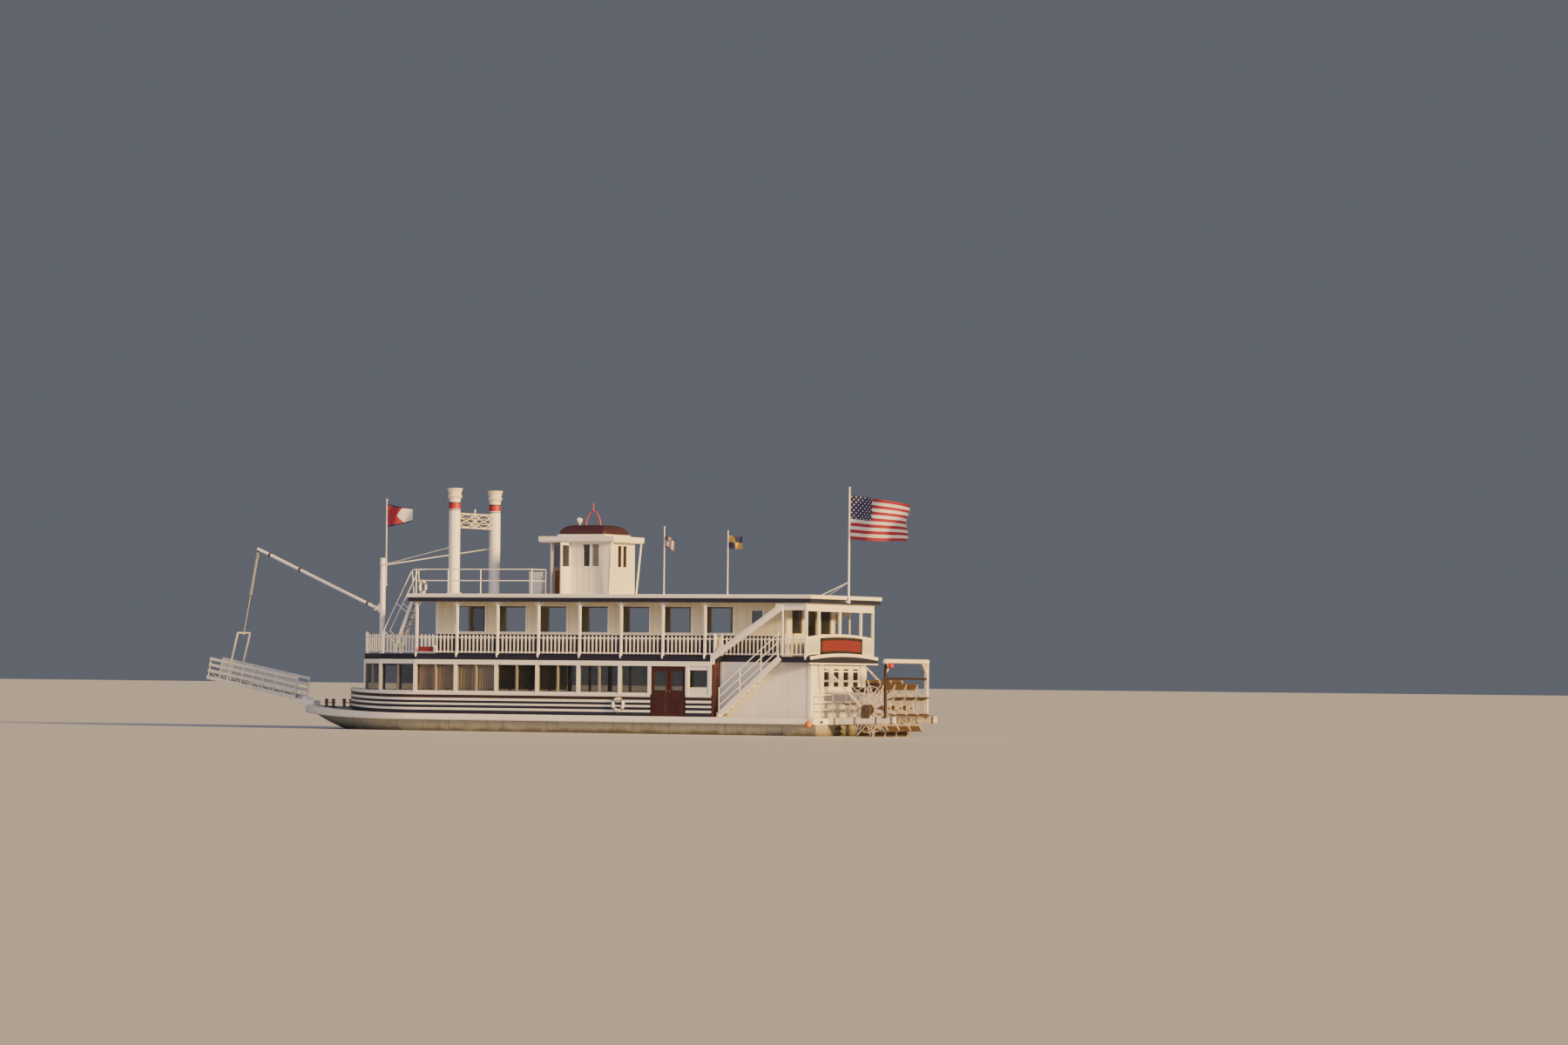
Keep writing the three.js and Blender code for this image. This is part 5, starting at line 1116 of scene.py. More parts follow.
# The lip's third values are how far its flutes go: none on the collar, all of it where the lip flares.
lip = [(0.228, 9.19, 0), (0.228, 9.21, 0), (0.246, 9.225, 0), (0.25, 9.245, 0), (0.246, 9.265, 0),
       (0.26, 9.285, 0), (0.292, 9.30, 0), (0.30, 9.32, 0), (0.29, 9.345, 0), (0.256, 9.375, 0),
       (0.246, 9.40, 0)]
lip += [(0.246 + 0.058 * f ** 1.9, 9.40 + 0.215 * f, min(1.0, 3 * f)) for f in np.linspace(0, 1, 14)[1:]]
lip += [(0.309, 9.622, 0.6), (0.304, 9.644, 0.2), (0.28, 9.644, 0), (0.255, 9.55, 0), (0.20, 9.3, 0),
        (0.19, 8.95, 0)]
for side, word in SIDES:
    at = (STACK_X, side * STACK_Y, 0)
    bolts = round_points(at, 0.285, 12) + (0, 0, 5.47)
    piece(f"stack_pipe_{word}", [
        turned(shaft, at, 48),
        *[turned([(STACK_R - 0.01, foot), (r - 0.004, foot), (r, foot + 0.006), (r, head - 0.006),
                  (r - 0.004, head), (STACK_R - 0.01, head)], at, 48, number)
          for foot, head, r, number in BANDS],
        turned(lip, at, 96, 3, 24, 0.018), turned([(0.19, 8.9), (0.19, 8.96)], at, 32, 2),
        rods(bolts, bolts + (0, 0, 0.02), 0.012, 6),
    ], [WHITE_METAL, RED, SOOT, CROWN_CREAM, DARK_BAND], stands_for=(f"stack_{word}",))

SCROLL_Z, SCROLL_HALF = 8.3755, 1.42
swing = np.linspace(0, np.pi, 40)
bars_z = (8.655, 8.096)
finial = [(0.02, 0), (0.04, 0.02), (0.045, 0.05), (0.02, 0.09), (0.004, 0.11)]
parts = [rods(places(STACK_X, -SCROLL_HALF, bars_z), places(STACK_X, SCROLL_HALF, bars_z), 0.027, 14),
         bars((STACK_X, 0, 8.08), (STACK_X, 0, 8.76), 0.05, 0.03, 0.008),
         turned(finial, (STACK_X, 0, 8.75), 16)]
for side, flip in ((1, 1), (1, -1), (-1, 1), (-1, -1)):
    for reach, foot, thick in ((0.245, 0.0, 0.016), (-0.225, 0.25, 0.016), (0.115, 0.0, 0.012)):
        bow = places(STACK_X, side * (0.012 + 1.415 * swing / np.pi),
                     SCROLL_Z + flip * (foot + reach * np.sin(swing)))
        parts.append(tube(bow, thick, 8, top=(1, 0, 0)))
    parts += [tube(round_points((STACK_X, side * y, SCROLL_Z + flip * 0.185), 0.062, 64, 0), 0.011, 7, True,
                   top=(1, 0, 0)) for y in (0.20, 1.22)]
piece("scroll_lace", parts, [CROWN_CREAM], stands_for=("stack_scrolls",))


# Mast and jack staff: a white steel mast through the foredeck, a slim staff clamped behind it, and two pipe
# stays to rings on the stacks. The boom's cheek plates are welded to its fore face.
MAST_X, MAST_R, MAST_TOP = 9.71, 0.115, 6.913
HEEL_Z = 4.886
mast_foot = MAIN_DECK + float(sheer(MAST_X)) - 0.02
tall = MAST_TOP - mast_foot
mast = [(0.2, 0), (0.2, 0.025), (0.15, 0.04), (MAST_R, 0.06), (MAST_R, 2.1), (0.122, 2.11), (0.122, 2.16),
        (MAST_R, 2.17), (MAST_R, 5.3), (MAST_R - 0.006, 5.9), (MAST_R - 0.004, tall - 0.05),
        (MAST_R + 0.008, tall - 0.045), (MAST_R + 0.008, tall - 0.012), (0.08, tall)]
jack = [(0.028, 5.78), (0.026, 6.9), (0.018, 9.22), (0.03, 9.235), (0.036, 9.26), (0.026, 9.285),
        (0.004, 9.30)]
clamp = [(0.128, 0), (0.136, 0.01), (0.136, 0.05), (0.128, 0.06)]
piece("mast_steel", [
    turned(mast, (MAST_X, 0, mast_foot), 32), turned(jack, (MAST_X - 0.145, 0, 0), 16),
    *[box(MAST_X - 0.185, MAST_X - 0.05, -0.04, 0.04, z, z + 0.06, 0.01) for z in (5.82, 6.70)],
    *[turned(clamp, (MAST_X, 0, z), 32) for z in (5.82, 6.60, 6.70)],
    rods([(MAST_X, s * 0.05, 6.62) for s in (1, -1)], [(5.68, s * 1.57, 7.307) for s in (1, -1)], 0.024, 14),
    *[box(MAST_X + 0.06, 10.061, y, y + 0.03, HEEL_Z - 0.09, HEEL_Z + 0.09, 0.012) for y in (-0.095, 0.065)],
    box(MAST_X + 0.05, MAST_X + 0.135, -0.10, 0.10, 4.70, 5.07, 0.012),
    *[tube(round_points((STACK_X, s * STACK_Y, 7.33), 0.236, 64), 0.016, 8, True) for s in (1, -1)],
], [WHITE_METAL], stands_for=("mast",))


# Pilothouse: plywood walls with battened joints and sliding sashes, a flat canopy with a planed edge all
# round. Above is a ribbed maroon dome, a red wishbone arch with a spike at its crown, and a searchlight.
PILOT_Y, PILOT_AFT, PILOT_FORE = 1.05, -1.19, 1.46
HELM = np.array((0.9, 0, 6.45))
HOUSE, HOUSE_AFT = (painted(name, (0.80, 0.77, 0.73), (0.45, 0.36, 0.28), 0.24, 0.9, 0.4, over_it, 0.29, 0.03,
                            0.05)
                    for name, over_it in (("pilothouse_white", (1, 0, 0)),
                                          ("pilothouse_white_aft", (0, 1, 0))))
VARNISH = painted("varnished_wood", (0.16, 0.065, 0.025), (0.06, 0.03, 0.015), 0.4, 2.0, 0.22, (0, 1, 0),
                  0.14, 0.02, 0.2)
BLIND = painted("blind_cloth", (0.84, 0.78, 0.72), (0.5, 0.45, 0.4), 0.2, 2.0, 0.8, (0, 0, 1), 0.05, 0.04,
                0.05)
finish(HOUSE, "pilothouse_wall_port", "pilothouse_wall_starboard")
finish(HOUSE_AFT, "pilothouse_wall_aft", "pilothouse_wall_fore")
finish(WHITE, "pilothouse_door_port", "pilothouse_door_starboard")
parts = []
for side, _ in SIDES:
    wall = partial(side_points, side, PILOT_Y)
    lights, base = wall((-0.725, -0.38), (-0.32, 0.015)), wall((PILOT_AFT, 0.545))
    battens = wall(*[(x - 0.016, x + 0.016) for x in (-1.17, -0.88, -0.35, 0.16, 0.53)])
    parts += [*casings(*lights, 6.536, 7.44, 0.02, 0.08), panes(*lights, 6.56, 7.42, 0.03),
              flat_bars(*base, 5.428, 5.52, 0.03, 0.012),
              flat_bars(*wall((-0.71, -0.395)), 6.57, 7.41, 0.008, -0.045, 0.001, 3),
              flat_bars(*base, 6.45, 6.50, 0.03, 0.014), flat_bars(*battens, 5.52, 6.45, 0.02, 0.010),
              flat_bars(*base, 7.44, 7.49, 0.03, 0.012)]
aft_left = np.array([(PILOT_AFT, 0.355), (PILOT_AFT, -0.085)])
fore_left = np.array([(PILOT_FORE, -0.91), (PILOT_FORE, 0.07)])
aft_lights, fore_lights = (aft_left, aft_left - (0, 0.27)), (fore_left, fore_left + (0, 0.84))
parts += [*casings(*aft_lights, 6.536, 7.38, 0.008, 0.04, 0.004, 2), panes(*aft_lights, 6.55, 7.37, 0.03),
          *casings(*fore_lights, 6.476, 7.44, 0.04, 0.08), panes(*fore_lights, 6.48, 7.43, 0.03),
          *[flat_bars((PILOT_AFT, y0), (PILOT_AFT, y1), foot, head, 0.03, 0.012) for y0, y1, foot, head in (
              (1.05, -1.05, 5.428, 5.52), (1.05, 0.98, 5.52, 7.49), (-0.98, -1.05, 5.52, 7.49))],
          box(1.05, 1.38, -0.8, 0.8, 5.43, 6.35, 0.02, 2), box(1.02, 1.38, -0.82, 0.82, 6.34, 6.38, 0.01, 2),
          tube(round_points(HELM, 0.36, 48, 0), 0.02, 8, True, 2, (1, 0, 0)),
          rods(HELM + np.zeros((8, 1)), round_points(HELM, 0.47, 8, 0), 0.012, 8, 2),
          rods(HELM - (0.06, 0, 0), HELM + (0.15, 0, 0), 0.05, 16, 2)]
piece("pilothouse_trim", parts, [WHITE, GLASS, VARNISH, BLIND])
for side, word in SIDES:
    low, high = np.array(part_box(f"pilothouse_door_{word}"))
    # The port leaf stands along Y and the starboard leaf along X.
    run = int(side > 0)
    middle = (low[1 - run] + high[1 - run]) / 2
    parts = []
    for u0, u1, foot, head, half, planed, number in ((0.14, 0.70, 5.62, 6.36, 0.030, 0.008, 0),
                                                     (0.12, 0.70, 6.536, 7.38, 0.005, 0.001, 1)):
        spans = [(low[run] + u0, low[run] + u1), (middle - half, middle + half)]
        parts.append(box(*spans[run], *spans[1 - run], foot, head, planed, number))
    piece(f"pilothouse_door_dressing_{word}", parts, [WHITE, GLASS], f"pilothouse_door_{word}")

props = [(-1.225, s * 1.15, 5.44) for s in (1, -1)]
piece("canopy_boards", [
    box(-1.5, 1.88, -1.3, 1.3, 7.535, 7.705, 0.012), box(-1.5, 1.88, -1.3, 1.3, 7.69, 7.733, 0.014),
    box(-1.47, 1.85, -1.27, 1.27, 7.497, 7.54, 0.01), box(-1.0, 1.15, -1.08, 1.08, 7.73, 7.82, 0.02),
    bars(props, [(-1.39, s * 1.24, 7.50) for s in (1, -1)], 0.07, 0.07, 0.01),
    *[turned([(0.06, 0), (0.06, 0.01), (0.04, 0.02)], (*foot[:2], ROOF_TOP), 16) for foot in props],
], [WHITE], stands_for=("pilothouse_canopy",))

DOME_PAINT = painted("dome_maroon", (0.042, 0.014, 0.026), (0.12, 0.05, 0.06), 0.25, 1.1, 0.45, (0, 1, 0),
                     0.21, 0.04, 0.06)
ARCH_RED = painted("arch_red", (0.48, 0.07, 0.03), (0.2, 0.06, 0.03), 0.3, 3.0, 0.4)
ARCH_X, ARCH_HALF, LAMP_X = 0.12, 0.325, 0.71
DOME_TOP = 8.196


def dome_shell():
    """Rings of rounded rectangles: each side is pulled in by one minus the cosine of the rise while the
    height goes by its sine. A power of a turn's cosine and sine squares the corners, and ribs stand out."""
    rise = np.linspace(0, np.pi / 2, 15)[:, None]
    around = np.arange(128) * 2 * np.pi / 128
    c, s = np.cos(around + 0.02), np.sin(around + 0.02)
    inset = 0.5 * (1 - np.cos(rise))
    ribs = 1 + 0.006 * (np.cos(16 * around) > 0.93)
    x = 0.075 + (1.045 - inset) * np.sign(c) * abs(c) ** 0.10 * ribs
    y = (1.05 - inset) * np.sign(s) * abs(s) ** 0.10 * ribs
    return shell(places(x, y, 7.821 + 0.375 * np.sin(rise)))


piece("dome_skin", [dome_shell()], [DOME_PAINT], stands_for=("pilothouse_dome",),
      crease=50)
share = np.linspace(0, 1, 24)
sweep = share * np.pi / 2
parts = [turned([(0.03, 0), (0.045, 0.02), (0.045, 0.04), (0.022, 0.07), (0.014, 0.20), (0.034, 0.225),
                 (0.034, 0.25), (0.014, 0.275), (0.010, 0.35), (0.003, 0.37)], (ARCH_X, 0, 8.75), 20)]
for s in (1, -1):
    leg = places(ARCH_X + s * ARCH_HALF * np.cos(sweep), 0, 8.20 + 0.565 * np.sin(sweep) ** 1.25)
    parts += [tube(leg, 0.032 - 0.010 * share, 12, top=(0, 1, 0)),
              turned([(0.06, 0), (0.06, 0.012), (0.036, 0.03)], (ARCH_X + s * ARCH_HALF, 0, DOME_TOP), 20)]
piece("arch_pipe", parts, [ARCH_RED], stands_for=("dome_arch",))
points, faces, _ = turned([(0.02, -0.10), (0.07, -0.085), (0.095, -0.04), (0.105, 0.03), (0.11, 0.06),
                           (0.105, 0.07), (0.09, 0.05)], sides=28)
piece("searchlight", [
    (points[:, ::-1] + (0.72, 0, 8.40), faces, 0), rods((LAMP_X, 0, 8.19), (LAMP_X, 0, 8.30), 0.02, 12),
    turned([(0.07, 0), (0.07, 0.012), (0.03, 0.02)], (LAMP_X, 0, 8.192), 20),
    rods([(LAMP_X, s * 0.11, 8.29) for s in (1, -1)], [(LAMP_X, s * 0.11, 8.41) for s in (1, -1)], 0.010, 8),
    rods((LAMP_X, -0.115, 8.295), (LAMP_X, 0.115, 8.295), 0.010, 8),
], [WHITE_METAL])


# Boom and falls: a white steel pipe with dark bands, forked at its end for the upper block. The falls are
# two white-painted wooden blocks with rope rove between them, and one part down to the stage's bail.
BOOM_HEEL, BOOM_ANGLE, BOOM_LENGTH = np.array((9.986, 0, HEEL_Z)), math.radians(23.1), 6.077
BOOM_R = 0.0645
BOOM_TIP = BOOM_HEEL + BOOM_LENGTH * np.array((math.cos(BOOM_ANGLE), 0, math.sin(BOOM_ANGLE)))
BAIL_EYE = np.array((16.23, 0, 3.849))
BLOCK = painted("block_paint", (0.62, 0.60, 0.56), (0.25, 0.16, 0.10), 0.5, 4.0, 0.4, (1, 0, 0), 0.028,
                0.05, 0.1)
FALL_ROPE = painted("fall_rope", (0.66, 0.62, 0.54), (0.3, 0.25, 0.18), 0.4, 4.0, 0.85, (0, 0, 1), 0.018,
                    0.2, 0.2)


def slanted(parts, origin, angle):
    """Parts turned in the plane of the keel: x and z by the cosine and sine of the angle, then moved."""
    c, s = math.cos(angle), math.sin(angle)
    turn = np.array([(c, 0, s), (0, 1, 0), (-s, 0, c)])
    return [(points @ turn + origin, faces, number) for points, faces, number in parts]


def lying(profile, sides=28, number=0):
    """A turned shape laid along x: the spun profile's height becomes the way along."""
    points, faces, _ = turned(profile, sides=sides)
    return points[:, [2, 1, 0]] * (1, 1, -1), faces, number


def across_boat(profile, middle=(0, 0, 0), sides=24, number=0):
    """A turned shape laid across the boat: the spun profile's height becomes y."""
    points, faces, _ = turned(profile, sides=sides)
    return points[:, [0, 2, 1]] * (1, 1, -1) + middle, faces, number


lengths = [[(0.045, 0.02), (0.060, 0.06), (BOOM_R, 0.16), (BOOM_R, 0.415), (BOOM_R, 0.418)],
           [(BOOM_R, 0.51), (BOOM_R, 3.895)], [(BOOM_R, 3.99), (BOOM_R, 5.445)],
           [(BOOM_R, 5.54), (BOOM_R, 5.70), (0.058, 5.86), (0.050, BOOM_LENGTH - 0.16)]]
piece("boom_spar", slanted([
    *[lying(profile) for profile in lengths],
    *[lying([(0.066, at - 0.004), (0.076, at), (0.076, at + 0.09), (0.066, at + 0.094)], number=1)
      for at in (0.42, 3.9, 5.45)],
    across_boat([(0.03, -0.058), (0.062, -0.055), (0.062, 0.055), (0.03, 0.058)]),
    across_boat([(0.024, -0.109), (0.0245, 0.109)], number=1),
    *[box(BOOM_LENGTH - 0.26, BOOM_LENGTH + 0.05, y - 0.012, y + 0.012, -0.045, 0.045, 0.01)
      for y in (-0.047, 0.047)],
    *[box(x - 0.02, x + 0.02, -0.016, 0.016, -0.115, -0.05, 0.006, 1) for x in (3.94, 5.49)],
], BOOM_HEEL, BOOM_ANGLE), [WHITE_METAL, STEEL], "boom", ("boom",))


def tackle_block(head, foot):
    """A wooden block: rounded cheeks either side of a sheave, with iron straps over them."""
    middle = (head + foot) / 2
    sheave = [(0.004, -0.013), (0.038, -0.013), (0.032, 0), (0.038, 0.013), (0.004, 0.013)]
    return [*[box(-0.045, 0.045, s * 0.014, s * 0.028, foot, head, 0.012, 1) for s in (1, -1)],
            *[box(-0.012, 0.012, s * 0.027, s * 0.031, foot - 0.01, head + 0.01, 0.002, 2) for s in (1, -1)],
            across_boat(sheave, (0, 0, middle), 24, 2),
            rods((0, -0.033, middle), (0, 0.033, middle), 0.008, 10, 2),
            box(-0.014, 0.014, -0.02, 0.02, head - 0.01, head + 0.03, 0.006, 2),
            box(-0.014, 0.014, -0.02, 0.02, foot - 0.03, foot + 0.01, 0.006, 2),
            box(-0.02, 0.02, -0.014, 0.014, head - 0.02, head - 0.005, 0.004, 1)]


def laid_rope(x, head, foot, radius=0.013, twist=9.0):
    """A three-stranded rope hanging straight: three lobes on the radius, turned steadily with the height."""
    z = np.linspace(head, foot, 60)[:, None]
    around = np.arange(12) * np.pi / 6
    bulge = radius * (1 + 0.16 * np.cos(3 * around + twist * 2 * np.pi * (head - z)))
    return shell(places(x + bulge * np.cos(around), bulge * np.sin(around), z))


fall_x, _, fall_z = BAIL_EYE - BOOM_TIP
piece("falls_rope", slanted([
    *[laid_rope(x, -0.34, -1.66) for x in (-0.030, 0.030)], laid_rope(0, -0.36, -1.64),
    laid_rope(0, -1.88, 0.046 - math.hypot(fall_x, fall_z)),
    *tackle_block(-0.13, -0.35), *tackle_block(-1.65, -1.89),
    across_boat([(0.0145, -0.058), (0.0145, 0.058)], number=2),
    across_boat([(0.016, -0.034), (0.034, -0.032), (0.034, 0.032), (0.016, 0.034)], number=2),
    box(-0.014, 0.014, -0.02, 0.02, -0.14, 0, 0.005, 2),
], BOOM_TIP, math.atan2(fall_x, -fall_z)), [FALL_ROPE, BLOCK, STEEL], "falls", ("falls",))


# Landing stage: an aluminium gangway hinged on the stem head, planked, with boarded rails either side.
# A bail of square tube stands over it, where the falls take hold.
STAGE_HINGE, STAGE_ANGLE, STAGE_LENGTH = np.array((13.33, 0, 1.225)), math.radians(10.6), 4.43
RAILS = (0.285, 0.525, 0.765)
ALLOY = painted("stage_alloy_paint", (0.66, 0.66, 0.66), (0.32, 0.27, 0.22), 0.35, 1.2, 0.42, metal=0.15)
PLANKS = painted("stage_planks", (0.50, 0.49, 0.47), (0.16, 0.12, 0.08), 0.5, 1.4, 0.6, (1, 0, 0), 0.14,
                 0.08, 0.15)
stations = 0.18 + (STAGE_LENGTH - 0.24) * np.arange(9) / 8
parts = [box(0.15, STAGE_LENGTH, -0.46, 0.46, -0.035, 0.018, 0.006, 1),
         box(-0.05, 0.32, -0.15, 0.15, -0.042, 0.022, 0.012),
         across_boat([(0.029, -0.25), (0.0295, 0.25)], number=2),
         timbers(places(np.arange(0.4, 4.3, 0.6), 0, -0.06), (0.025, 0.46, 0.03)),
         timbers(places(np.arange(0.55, 4.4, 0.45), 0, 0.026), (0.016, 0.40, 0.010)),
         box(3.303, 3.363, -0.5, 0.5, 2.016, 2.076, 0.012), box(3.308, 3.358, -0.05, 0.05, 1.98, 2.03, 0.01)]
for s in (1, -1):
    y = s * 0.475
    outer = y + s * 0.012
    parts += [bars((0.13, y, -0.01), (STAGE_LENGTH, y, -0.01), 0.05, 0.145, 0.012),
              bars(places(0.16, outer, RAILS), places(STAGE_LENGTH - 0.005, outer, RAILS), 0.022, 0.115,
                   0.008),
              timbers(places(stations, y - s * 0.004, 0.405), (0.022, 0.018, 0.40)),
              bars((3.459, y, 0), (3.333, y, 2.056), 0.056, 0.065, 0.008),
              bars(places(stations[:-1], y, 0.02), places(stations[1:], y, 0.28), 0.02, 0.02, 0.004),
              rods(places(3.41, y + s * 0.026, RAILS), places(3.41, y - s * 0.03, RAILS), 0.01, 10, 2)]
piece("stage_gangway", slanted(parts, STAGE_HINGE, STAGE_ANGLE), [ALLOY, PLANKS, STEEL], "landing_stage",
      ("landing_stage",))


# Wheel beams and arch: two timber beams with iron straps carry the bearings aft of the transom. An arch of
# square timber stands over the wheel, its port post dark, and two struts brace the beams to the deck above.
WHEEL_X, WHEEL_Z, BEAM_Y = -12.8, 1.05, 1.88
BEAM_FORE, BEAM_AFT = (-11.2003, 0.572), (-14.04, 0.656)
ARCH_POST_X = -13.61
BEAM_WHITE = painted("beam_white", (0.78, 0.74, 0.67), (0.36, 0.22, 0.13), 0.5, 1.1, 0.5, (0, 0, 1), 0.135,
                     0.03, 0.1)
GREASE = painted("greasy_iron", (0.10, 0.085, 0.07), (0.25, 0.11, 0.05), 0.5, 3.0, 0.4, metal=0.6)
LAMP_RED = painted("lamp_red", (0.55, 0.03, 0.03), (0.2, 0.05, 0.04), 0.2, 4.0, 0.15)


def bearing(y):
    """A bearing about the shaft's bore: as far out as its half-width above, and below as far as the nearer of
    its side and its foot, which are at a distance over the cosine and over the sine of the turn."""
    turn = np.arange(48) * 2 * np.pi / 48
    c, s = np.cos(turn), np.sin(turn)
    square = np.minimum(0.185 / np.maximum(abs(c), 1e-6), 0.21 / np.maximum(-s, 1e-6))
    reach = np.where(s >= 0, 0.185, square)
    radius = np.stack([0 * turn + 0.0765, 0 * turn + 0.0765, reach, reach])
    faces_y = y + np.array([-0.072, 0.072, 0.072, -0.072])[:, None]
    return shell(places(WHEEL_X + radius * c, faces_y, WHEEL_Z + radius * s), 1, True)


parts = []
strap_x = np.array([-11.5, -12.35, -13.25, -13.9])
strap_z = np.interp(strap_x, *zip(BEAM_AFT, BEAM_FORE))
for s, half, paint in ((1, 0.052, 2), (-1, 0.07, 0)):
    y = s * BEAM_Y
    bolts = places(WHEEL_X + np.array((-0.145, 0.145)), y, WHEEL_Z)
    parts += [
        bars((BEAM_FORE[0], y, BEAM_FORE[1]), (BEAM_AFT[0], y, BEAM_AFT[1]), 0.15, 0.27, 0.016),
        timbers(places(strap_x, y, strap_z), (0.03, 0.082, 0.142), number=1),
        box(WHEEL_X - 0.19, WHEEL_X + 0.19, y - 0.075, y + 0.075, 0.70, 0.86, 0.012, 1), bearing(y),
        rods(bolts - (0, 0, 0.2), bolts + (0, 0, 0.13), 0.018, 8, 1),
        box(ARCH_POST_X - half, ARCH_POST_X + half, y - half, y + half, 0.74, 2.87, 0.014, paint),
        box(-13.70, -13.52, y - 0.09, y + 0.09, 2.80, 2.99, 0.05),
        box(-13.71, -13.51, y - 0.085, y + 0.085, 0.72, 0.79, 0.01, 1),
        bars((-13.0, y, 0.75), (-11.22, y, 2.48), 0.07, 0.07, 0.008),
        bars((-11.22, y, 2.48), (-10.82, y, 2.82), 0.055, 0.055, 0.008),
        bars((-13.6, y, 2.45), (-13.6, y - s * 0.42, 2.88), 0.10, 0.10, 0.012),
    ]
stern_light = [(0.05, 0), (0.09, 0.01), (0.105, 0.05), (0.105, 0.13), (0.075, 0.165), (0.02, 0.185)]
piece("wheel_beams", parts + [
    box(-13.69, -13.53, -BEAM_Y, BEAM_Y, 2.83, 2.99, 0.03),
    box(-13.655, -13.565, -BEAM_Y, BEAM_Y, 2.195, 2.285, 0.01, 2),
    box(-11.35, -11.2005, -BEAM_Y, BEAM_Y, 0.575, 0.685, 0.01),
    box(-13.68, -13.54, 1.95, 1.955, 2.0, 2.3, 0.002, 1),
    turned(stern_light, (-13.83, BEAM_Y, 2.66), 28, 3),
    box(-13.86, -13.66, BEAM_Y - 0.03, BEAM_Y + 0.03, 2.63, 2.67, 0.008, 1),
], [BEAM_WHITE, GREASE, DARK_BAND, LAMP_RED], stands_for=("wheel_frame",))


# Paddle wheel: an iron shaft with four hubs, each with ten arms, leaning legs beside them and two rings of
# round bar. Weathered bucket planks are bolted to the arms by strap irons, and their paint is worn through.
WHEEL_HALF, ARMS, WHEEL_START = 1.65, 10, 0.2
SPIDER_Y = (-1.55, -0.517, 0.517, 1.55)
LEGS = painted("leg_paint", (0.72, 0.66, 0.58), (0.34, 0.18, 0.10), 0.55, 3.0, 0.5)


def worn_planks():
    """Bare red-brown paint with pale wood through it, where a noise drawn out along the plank is high."""
    made = painted("bucket_planks", (0.046, 0.023, 0.019), (0.09, 0.06, 0.045), 0.85, 1.6, 0.6, (0, 0, 1),
                   0.5, 0.0, 0.1)
    colour = made.node_tree.nodes["Principled BSDF"].inputs["Base Color"]
    grain = noise(drawn_out(place_in(made.node_tree), (1.0, 0.12, 1.0)), 38, 5, Roughness=0.65)
    pale = ramp(grain, [(0.54, 0.0), (0.68, 0.7)])
    made.node_tree.links.new(mix(pale, colour.links[0].from_socket, (0.22, 0.16, 0.12, 1)), colour)
    return made


def about_shaft(radius, angle, y):
    """Points at a radius and an angle about the shaft."""
    return places(WHEEL_X + radius * np.cos(angle), y, WHEEL_Z + radius * np.sin(angle))


arms = 2 * np.pi * np.arange(ARMS) / ARMS + WHEEL_START
bucket_axes = np.stack([places(np.cos(arms), 0, np.sin(arms)), places(0 * arms, 1, 0),
                        places(-np.sin(arms), 0, np.cos(arms))], 1)
through = bucket_axes[:, 2] * 0.034
hub = [(0.078, -0.10), (0.11, -0.095), (0.12, -0.06), (0.19, -0.05), (0.19, 0.05), (0.12, 0.06),
       (0.11, 0.095), (0.078, 0.10)]
# Each arm goes from a radius and a lean to another, with a depth; the lean is a share of LEAN either way.
LEAN = 0.30
ARM_RUNS = [(0.17, 0.9, 0.60, 0.25, 0.022), (0.60, 1, 1.125, 0.07, 0.024)]
shaft = [(0.05, -1.97), (0.0745, -1.955), (0.0748, 1.955), (0.05, 1.97)]
parts = [across_boat(shaft, (WHEEL_X, 0, WHEEL_Z), 32, 1)]
parts += [timbers(about_shaft((inner + outer) / 2, arms, 0), ((outer - inner) / 2, WHEEL_HALF - 0.004, 0.017),
                  0.007, bucket_axes) for inner, outer in ((0.872, 1.008), (1.012, 1.146))]
for y in SPIDER_Y:
    runs = [(r0, arms + lean * share0, r1, arms + lean * share1, deep)
            for lean in (-LEAN, LEAN) for r0, share0, r1, share1, deep in ARM_RUNS]
    parts += [across_boat(hub, (WHEEL_X, y, WHEEL_Z), 40, 1)]
    parts += [bars(about_shaft(r0, turn0, y), about_shaft(r1, turn1, y), 0.05, deep, 0.005, (0, 1, 0), 2)
              for r0, turn0, r1, turn1, deep in (*runs, (0.16, arms, 1.11, arms, 0.024))]
    parts += [tube(round_points((WHEEL_X, y, WHEEL_Z), radius, 80, 1), 0.017, 8, True, 2, (0, 1, 0))
              for radius in (0.60, 0.885)]
    parts += [rods(bolt - through, bolt + through, 0.013, 8, 1)
              for bolt in (about_shaft(0.95, arms, y), about_shaft(1.07, arms, y))]
    parts += [timbers(about_shaft(1.0, arms, y), (0.125, 0.035, 0.022), 0.004, bucket_axes, 1)]
piece("wheel_iron_and_planks", parts, [worn_planks(), GREASE, LEGS], "paddle_wheel",
      ("paddle_wheel",))


# Flags: light nylon cloth on the four staffs, hemmed, each sewn from plain coloured strips.
# Each flies from its hoist edge, so its length is kept while its heading and its droop change along it.
FLAG_RED, FLAG_WHITE, FLAG_BLUE = (0.36, 0.012, 0.045, 1), (0.80, 0.79, 0.77, 1), (0.012, 0.016, 0.095, 1)
FLAG_YELLOW = (0.62, 0.40, 0.05, 1)
STRIPES = 13
CORNER_WIDE, CORNER_FOOT = 0.40, 6 / STRIPES


